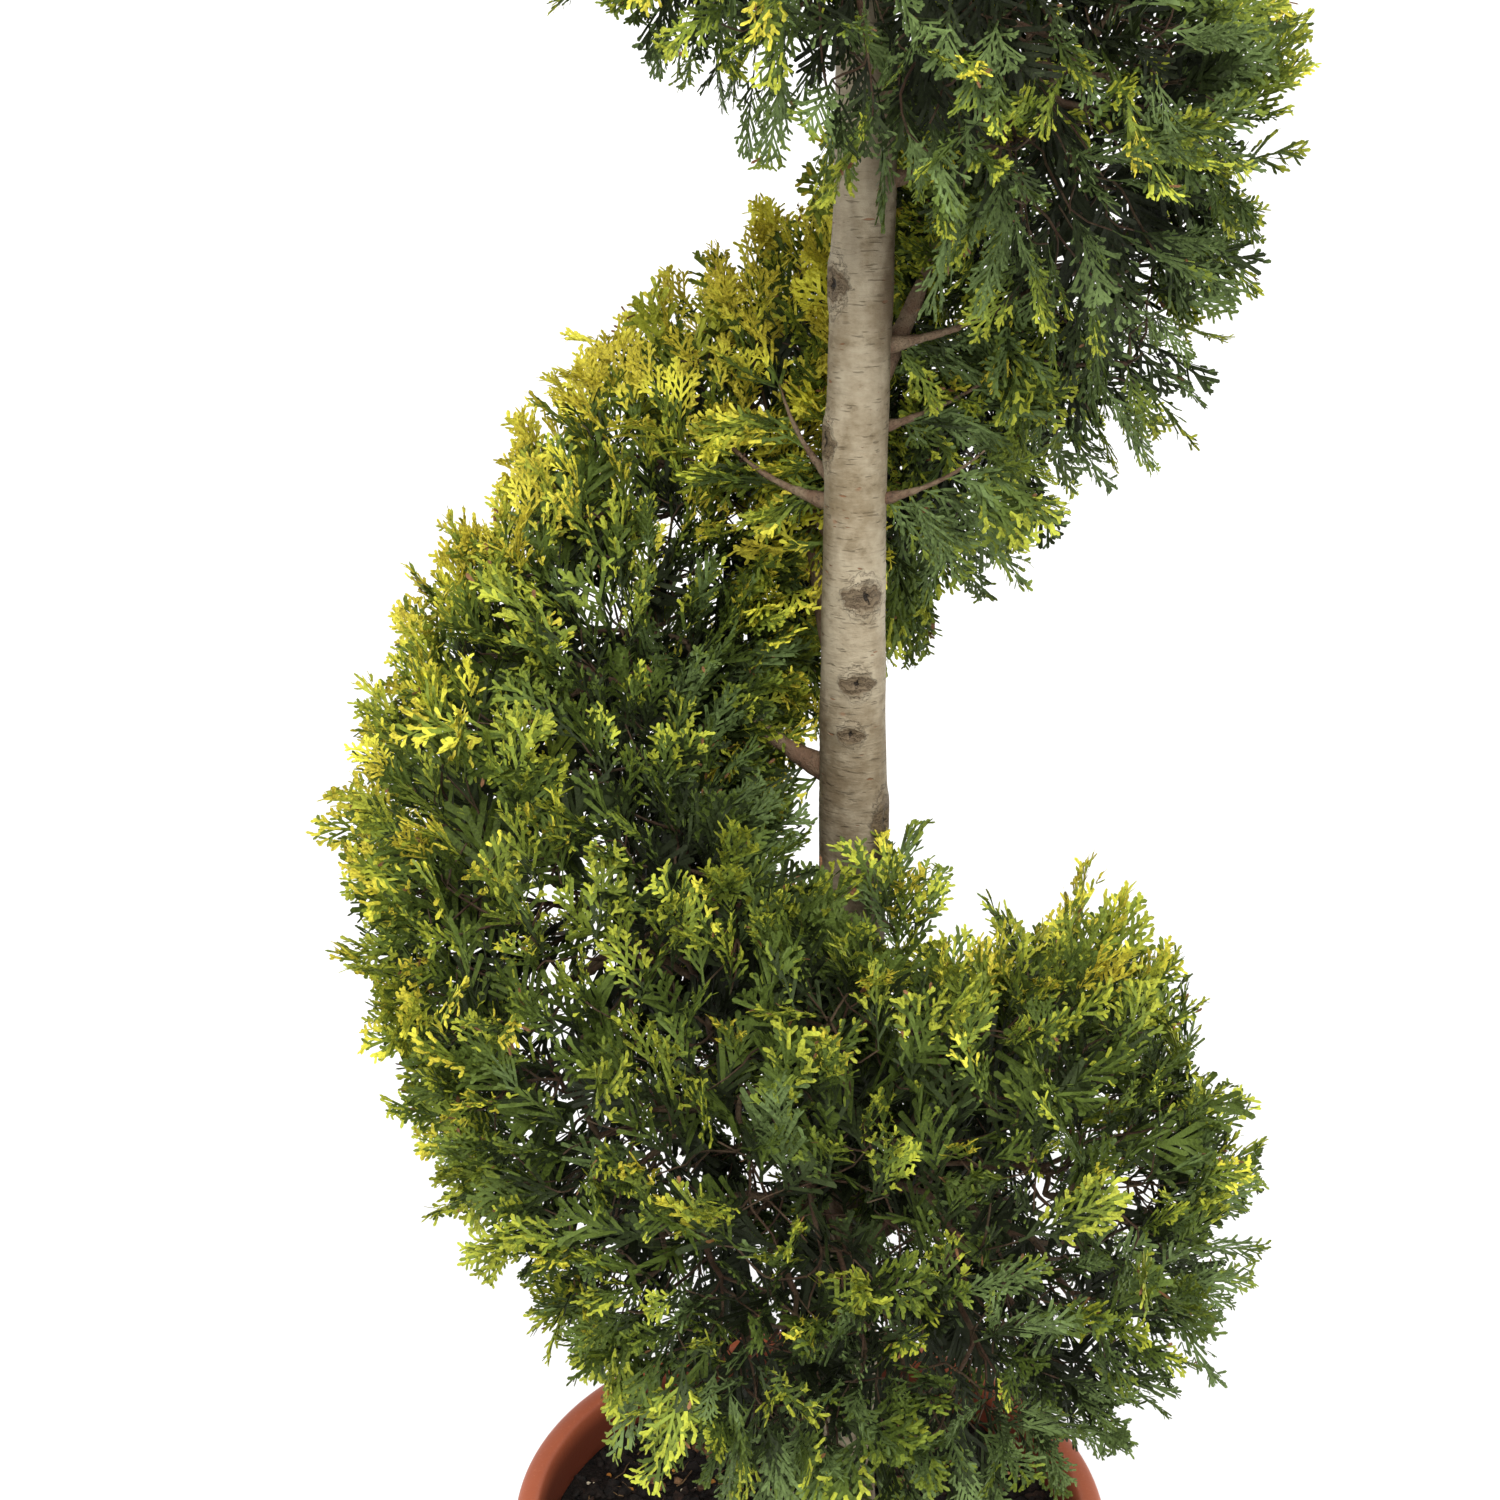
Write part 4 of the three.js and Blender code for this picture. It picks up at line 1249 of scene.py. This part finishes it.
# Slow drifts of light over the crown, so that golden sprays stand in patches.
def patchiness(points):
    x, y, z = points[:, 0] / 60, points[:, 1] / 60, points[:, 2] / 55
    return (np.sin(x * 1.3 + z) + np.sin(y * 1.7 - z * 0.8 + 1) + np.sin(x - y + z * 1.9 + 2)) / 3


# The sprays of one source, by name; a single value stands for all of them.
def sprayRows(root, outward, **values):
    rows = {"root": root, "outward": outward}
    for name, value in values.items():
        rows[name] = np.full(len(root), value) if np.isscalar(value) else value
    return rows


def together(sources):
    return {name: np.concatenate([rows[name] for rows in sources]) for name in sources[0]}


def skinSprays(rng, index, number, scale):
    fromTurn, toTurn = massBounds[index], massBounds[index + 1]
    middleTurn = (fromTurn + toTurn) / 2
    section = coreSection(middleTurn)
    length = hypot((toTurn - fromTurn) * 2 * pi * section["radius"], climb(toTurn) - climb(fromTurn))
    area = length * 4 * (section["wide"] + (section["up"] + section["down"]) / 2)
    outLow, outHigh = layers[number]["out"]
    count = int(area * outLow / (layers[number]["patch"] * scale**1.3))
    i = np.arange(count)
    turn = fromTurn + (toTurn - fromTurn) * (i + 0.5) / count + rng.normal(0, 0.004, count)
    angle = evenAngles(middleTurn, spread(i, index + 11 * number)) + rng.normal(0, 0.07, count)
    out = rng.uniform(outLow, outHigh, count)
    if index in ribbonEnds:
        share, sign = ribbonEnds[index]
        atEnd = rng.random(count) < share
        endTurn = fromTurn if sign < 0 else toTurn
        turn = np.where(atEnd, endTurn + rng.normal(0, 0.006, count), turn)
        out = np.where(atEnd, np.sqrt(rng.random(count)) * outHigh, out)
    outward = outwardAt(turn, angle)
    if index in ribbonEnds:
        facing = unit(levelWays(turn)[1] * sign + 0.5 * outward)
        outward = np.where(atEnd[:, None], facing, outward)
    root = coreSpot(turn, angle, out * trimmed(turn, angle))
    return sprayRows(root, outward, turn=turn, angle=angle, layer=number, scale=scale, stray=0.0)


def straySprays(rng, row, scale):
    turn, radius, height, count, outwards, upwards, reachOut = row
    turn = turn + rng.normal(0, 0.02, count)
    away = unit(levelWays(turn)[0] * outwards + (0, 0, upwards))
    height = height + rng.normal(0, 10, count)
    root = spiralPoint(turn, radius + rng.normal(0, 7, count), height)
    return sprayRows(root, away, turn=turn, angle=0.2, layer=0, scale=scale, stray=float(reachOut))


def boughSprays(rng, bough, scale):
    count = onBoughs["thin" if bough["thick"] < onBoughs["thinBelow"] else "main"]
    path, start = bough["path"], onBoughs["from"]
    place = ((start + (1 - start) * (np.arange(count) + 0.5) / count) * (len(path) - 1)).astype(int)
    ahead = unit(np.gradient(path, axis=0))[place]
    away = unit(ahead + rng.normal(0, 0.45, (count, 3)) - (0, 0, 0.15))
    root = path[place] + away * bough["thick"] * 0.5
    turn = bough["turn"] + rng.normal(0, 0.02, count)
    return sprayRows(root, away, turn=turn, angle=-0.5, layer=0, scale=scale, stray=onBoughs["room"])


# The directions along a spray, across it and out of its face, with the face turned upwards.
def facingUp(along, across):
    normal = np.cross(along, across)
    flip = np.where(normal[:, 2] < 0, -1.0, 1.0)[:, None]
    return {"along": along, "across": across * flip, "normal": normal * flip}


def massSprays(index, limbs):
    rng = np.random.default_rng(index + 5)
    fromTurn, toTurn = massBounds[index], massBounds[index + 1]
    scale = float(sprayScale(fromTurn))
    sources = [skinSprays(rng, index, number, scale) for number in range(len(layers))]
    sources += [straySprays(rng, row, scale) for row in strays if fromTurn <= row[0] < toTurn]
    sources += [boughSprays(rng, bough, scale) for bough in limbs]
    found = together(sources)
    turn, angle, layer, outward = (found[key] for key in ("turn", "angle", "layer", "outward"))
    count = len(turn)
    tilt = rng.uniform(*np.array([layers[number]["tilt"] for number in layer]).T)
    radial, ahead = levelWays(turn)
    above = (np.sin(angle) > -0.35)[:, None]
    upish = np.where(above, (0, 0, 1.0) + 0.25 * radial, radial + (0, 0, -0.3))
    heading = rng.normal(0, posture["heading"], count)
    climbing = unit(upish - outward * np.sum(upish * outward, -1, keepdims=True) + 1e-6)
    sideways = unit(ahead - outward * np.sum(ahead * outward, -1, keepdims=True))
    tangent = unit(climbing * np.cos(heading)[:, None] + sideways * np.sin(heading)[:, None])
    along = unit(outward * np.cos(tilt)[:, None] + tangent * np.sin(tilt)[:, None])
    along[:, 2] += 0.12 * np.sin(angle) - 0.04
    crested = np.exp(-(((turn - crest["turn"]) / crest["spread"]) ** 2))
    crested *= np.clip(outward[:, 2] * 1.6 - 0.5, 0, 1) * (layer < 2)
    along[:, 2] += crest["lift"] * crested
    along = unit(along)
    level = unit(np.cross(outward + 0.35 * upish, along))
    across = rotated(level, along, rng.normal(0, posture["roll"], count))
    found.update(facingUp(along, across), crested=crested)

    skin = coreSpot(turn, angle, trimmed(turn, angle))
    sunk = np.sum((found["root"] - skin) * outward, -1)
    rising = np.maximum(np.sum(along * outward, -1), 0.15)
    allowed = np.array([layers[number]["past"] for number in layer])
    depth = outlineDepth * allowed * scale * rng.uniform(*posture["reach"], count)
    depth += crest["room"] * crested
    longer = (rng.random(count) < longSprays["share"]) & (layer == 0)
    depth += outlineDepth * scale * np.where(longer, longSprays["more"], 0)
    found["room"] = np.where(found["stray"] > 0, found["stray"], (depth - sunk) / rising)
    found.update(lightOn(found, rng))
    return found


# The light that reaches each spray, from about 0 to 1, and how cool its green is: cool above 0.
def lightOn(found, rng):
    turn, angle, layer, outward = (found[key] for key in ("turn", "angle", "layer", "outward"))
    right, up = outward[:, 0], outward[:, 2]
    warmer, cooler = tone(turn).T
    rule, upper = lightRule, np.sin(angle)
    light = rule["base"] + rule["upper"] * upper + rule["outer"] * np.cos(angle) - rule["right"] * right
    light += rule["upwards"] * np.maximum(up, 0) * np.clip(0.6 - right * 1.2, 0, 1)
    light += np.array([layers[number]["light"] for number in layer])
    light += rule["patches"] * patchiness(found["root"]) + rng.normal(0, rule["scatter"], len(turn))
    light += warmer * np.choose(layer, rule["tones"]) + rule["crest"] * found["crested"]
    light -= np.where(found["stray"] > 0, rule["loose"], 0)
    cool = coolRule["right"] * right - coolRule["upper"] * upper - coolRule["base"] + cooler
    cool += rng.normal(0, coolRule["scatter"], len(turn))
    return {"light": np.maximum(light, np.choose(layer, rule["least"])), "cool": cool}


# The tuft at the leader's tip, with its sprays steeper towards the top.
def tuftSprays():
    rng = np.random.default_rng(77)
    count, base = tuft["sprays"], float(tree["top"])
    share = (np.arange(count) + 0.5) / count
    level = 2 * pi * spread(np.arange(count), 1) + rng.normal(0, 0.2, count)
    away = levelWays(-level / (2 * pi))[0]
    reachOut = tuft["radius"] * (1 - share) * rng.uniform(0.2, 1, count)
    root = trunkCentre(np.full(count, base)) + away * reachOut[:, None]
    root[:, 2] = soilTop + base - 14 + (tree["tuftTop"] - 40 - base) * share
    along = unit(away + np.array([0, 0, 1.0]) * (0.25 + 2.2 * share**2)[:, None])
    across = rotated(unit(np.cross(along, np.array([0, 0, 1.0]))), along, rng.normal(0, 0.7, count))
    right = away[:, 0]
    values = {"turn": -level / (2 * pi), "angle": 0.6, "layer": 0, "stray": 0.0, "crested": 0.0}
    values["light"] = tuft["light"] - 0.16 * right + rng.normal(0, lightRule["scatter"], count)
    values["cool"] = right + tuft["cool"] + rng.normal(0, coolRule["scatter"], count)
    values.update(facingUp(along, across), room=tuft["room"], scale=tuft["scale"])
    return sprayRows(root, away, **values)


# The light up to which a row holds, and the tints of a spray's foot, middle and tips: for sprays that
# have turned golden, and for the cool ones that hang or stand on the shaded side. The tints follow the
# light on a spray, so the dark rows are painted shade on sprays inside, under and on the shaded side of
# the crown. The light rows are partly the real gold of sunlit growth and partly painted light.
warmSteps = [
    (0.06, "shadow shadow deep"), (0.2, "shadow deep mid"), (0.34, "deep mid mid"),
    (0.48, "deep mid fresh"), (0.62, "deep mid lime"), (0.78, "deep fresh lime"),
    (0.94, "mid fresh gold"), (1.12, "mid lime gold"), (9.0, "mid gold gold"),
]
coolSteps = [
    (0.06, "shadow shadow deep"), (0.18, "shadow deep blue"), (0.32, "deep blue blue"),
    (0.46, "deep blue mid"), (0.58, "blue blue fresh"), (0.76, "blue mid lime"),
    (0.94, "mid fresh lime"), (9.0, "mid fresh gold"),
]
# Which of a row's tints a zone takes.
zonePlaces = {"foot": 0, "middle": 1, "tip": 2, "dead": 2}
# How many different sprays there are of each kind.
variants = {"fan": 6, "plume": 6, "comb": 5, "small": 5, "under": 4, "inner": 4}
# The ranges in which sprays are bent, and the spread of their sizes with the share that a crest adds.
growth = {"droop": (-0.35, 0.6), "leastDroop": 0.05, "cup": (0.1, 0.5), "wave": (-0.5, 0.5), "twist": 0.3}
sizes = {"spread": (0.68, 1.12), "least": 0.42, "crested": 0.35, "smallBelow": 0.74}
pieceTriangles = 180000


# For each spray, the tints of its foot, middle and tips as a row.
def tintsBy(steps, light):
    names = np.array([tints.split() for limit, tints in steps])
    return names[np.searchsorted([limit for limit, tints in steps], light)]


def kindsOf(found, pick):
    kind = np.where(pick < 0.5, "fan", "plume")
    kind = np.where((found["cool"] > 0.1) & (pick < 0.75), "comb", kind)
    kind = np.where(found["scale"] < sizes["smallBelow"], "small", kind)
    kind = np.where(found["layer"] == 1, "under", kind)
    return np.where(found["layer"] == 2, "inner", kind)


def makeLeaves(masses):
    found = together(masses)
    count = len(found["light"])
    rng = np.random.default_rng(3)
    found["hand"] = np.where(rng.random(count) < 0.5, -1.0, 1.0)
    droop = rng.uniform(*growth["droop"], count)
    found["droop"] = np.where(np.abs(droop) < growth["leastDroop"], growth["leastDroop"], droop)
    found["cup"] = rng.uniform(*growth["cup"], count)
    found["wave"] = rng.uniform(*growth["wave"], count)
    found["twist"] = rng.normal(0, growth["twist"], count)
    kind = kindsOf(found, rng.random(count))
    full = np.array([sprayKinds[name][0] for name in kind])
    wanted = rng.uniform(*sizes["spread"], count) * np.where(kind == "small", 1.0, found["scale"])
    wanted *= 1 + sizes["crested"] * found["crested"]
    found["size"] = np.clip(np.minimum(wanted, found["room"] / full), sizes["least"], None)
    cool = found["cool"][:, None] > 0
    tints = np.where(cool, tintsBy(coolSteps, found["light"]), tintsBy(warmSteps, found["light"]))
    parts = {tint: [] for tint in leafTints}
    for kindName, number in variants.items():
        mine = np.flatnonzero(kind == kindName)
        for variant in range(number):
            chosen = mine[variant::number]
            spray = makeSpray(kindName, 100 * len(kindName) + variant)
            at = {key: values[chosen] for key, values in found.items()}
            rusty = rng.random(len(chosen)) < 0.3
            for zone, (points, faces) in spray["zones"].items():
                placed = laidSprays(points, spray["length"], at)
                zoneTints = tints[chosen, zonePlaces[zone]]
                if zone == "dead":
                    zoneTints = np.where(rusty, "rust", zoneTints)
                for tint in np.unique(zoneTints):
                    parts[tint].append(oneMesh(placed[zoneTints == tint], faces))
    total = sum(len(faces) for tintParts in parts.values() for points, faces in tintParts)
    for tint, tintParts in parts.items():
        makeLeafPieces(tint, *joined(tintParts))
    print("sprays", count, "leaf triangles", total)


# The leaves of one tint, in as many pieces as keep each one small enough.
def makeLeafPieces(tint, points, faces):
    paint = leafPaint(tint)
    pieces = int(np.ceil(len(faces) / pieceTriangles))
    cuts = [len(faces) * part // pieces for part in range(1, pieces)]
    for number, mine in enumerate(np.split(faces, cuts)):
        used, renumbered = np.unique(mine, return_inverse=True)
        piece = meshPiece(f"leaves_{tint}_{number + 1}", points[used], renumbered.reshape(-1, 3), paint)
        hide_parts(*massNodes)


# What a twig's turn and its length to the trunk add to a way's cost, and a twig's thickness in mm.
twigRule = {"turnCost": 0.55, "lengthCost": 0.32, "thin": 0.5, "thicken": 0.38, "step": 1.25}


# Joins each spray's foot to the limb or the earlier foot that it can grow from with least bending.
# Gives the points, their headings, each one's parent and how many of them are on the limbs.
def twigWays(mass, limbs):
    stations = [slice(len(limb["path"]) // 2, None, 2) for limb in limbs]
    onLimbs = [limb["path"][station] for limb, station in zip(limbs, stations)]
    steps = [unit(np.gradient(limb["path"], axis=0))[station] for limb, station in zip(limbs, stations)]
    ends = np.array([limb["path"][-1] for limb in limbs])
    order = np.argsort(np.min(np.linalg.norm(mass["root"][:, None] - ends[None], axis=-1), axis=1))
    points = np.concatenate([*onLimbs, mass["root"][order]])
    heading = np.concatenate([*steps, mass["along"][order]])
    length, parents = np.zeros(len(points)), np.full(len(points), -1)
    limbCount = len(points) - len(order)
    for n in range(limbCount, len(points)):
        gap = points[n] - points[:n]
        far = np.linalg.norm(gap, axis=1) + 1e-6
        turning = 1 - np.sum(gap * heading[:n], axis=1) / far
        cost = far * (1 + twigRule["turnCost"] * turning) + twigRule["lengthCost"] * length[:n]
        best = int(np.argmin(cost))
        parents[n], length[n] = best, length[best] + far[best]
        heading[n] = unit(0.5 * heading[n] + 0.8 * gap[best] / far[best])
    return points, heading, parents, limbCount


def makeTwigs(masses, boughs, leader):
    parts = []
    for mass, limbs in zip(masses, boughs + [[leader]]):
        points, heading, parents, limbCount = twigWays(mass, limbs)
        load = np.ones(len(points))  # how many sprays a point carries
        for n in range(len(points) - 1, limbCount - 1, -1):
            load[parents[n]] += load[n]
        thickness = twigRule["thin"] * load ** twigRule["thicken"]
        for n in range(limbCount, len(points)):
            parent, thick = parents[n], thickness[n]
            gap = np.linalg.norm(points[n] - points[parent])
            t = np.linspace(0, 1, 3 if gap < 25 else 5)[:, None]
            path = (2 * t**3 - 3 * t**2 + 1) * points[parent]
            path = path + (t**3 - 2 * t**2 + t) * heading[parent] * gap
            path = path + (-2 * t**3 + 3 * t**2) * points[n] + (t**3 - t**2) * heading[n] * gap
            radii = np.linspace(min(thickness[parent], thick * twigRule["step"]), thick, len(t))
            parts.append(tube(path, radii, 3 if thick < 1.1 else 5))
    piece = meshPiece("twigs", *joined(parts), youngBarkPaint("twigs"))
    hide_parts(*massNodes)
    print("twigs", len(parts), "triangles", len(piece.data.polygons))


# Floor and the whole scene

def floorPaint():
    paint = Paint("paleFloor", Roughness=0.9, Emission_Strength=studio["floorGlow"])
    paint.shader.inputs["Emission Color"].default_value = (1, 1, 1, 1)
    grain = paint.noise(paint.place, 3, 2)
    shade = tuple(value * 0.985 for value in studio["floorColor"])
    return paint.feed(Base_Color=paint.mix(grain, shade, studio["floorColor"]))


def makeFloor():
    clearSelection()
    bpy.ops.mesh.primitive_plane_add(size=studio["floorSize"])
    floor = bpy.context.object
    floor.name = "floor"
    floor.data.materials.append(floorPaint())


makeCamera()
makeLamps()
makeAir()
makeFloor()
print("camera, lamps and floor stand")
makePot()
makeSoil()
makeSoilBits()
makeDryBits()
print("pot and compost made")
makeTrunk()
boughs = [massBoughs(index) for index in range(len(massBounds) - 1)]
for row in thinBoughs:
    bough = thinBough(*row)
    boughs[int(np.searchsorted(massBounds, bough["turn"])) - 1].append(bough)
makeBoughs([bough for mass in boughs for bough in mass])
print("trunk and boughs made")
masses = [massSprays(index, limbs) for index, limbs in enumerate(boughs)] + [tuftSprays()]
leaderHeights = np.linspace(tree["top"] - 60, tree["tuftTop"] - 32, 12)
leader = {"path": trunkCentre(leaderHeights)}
makeTwigs(masses, boughs, leader)
makeLeaves(masses)
print("twigs and sprays grown")
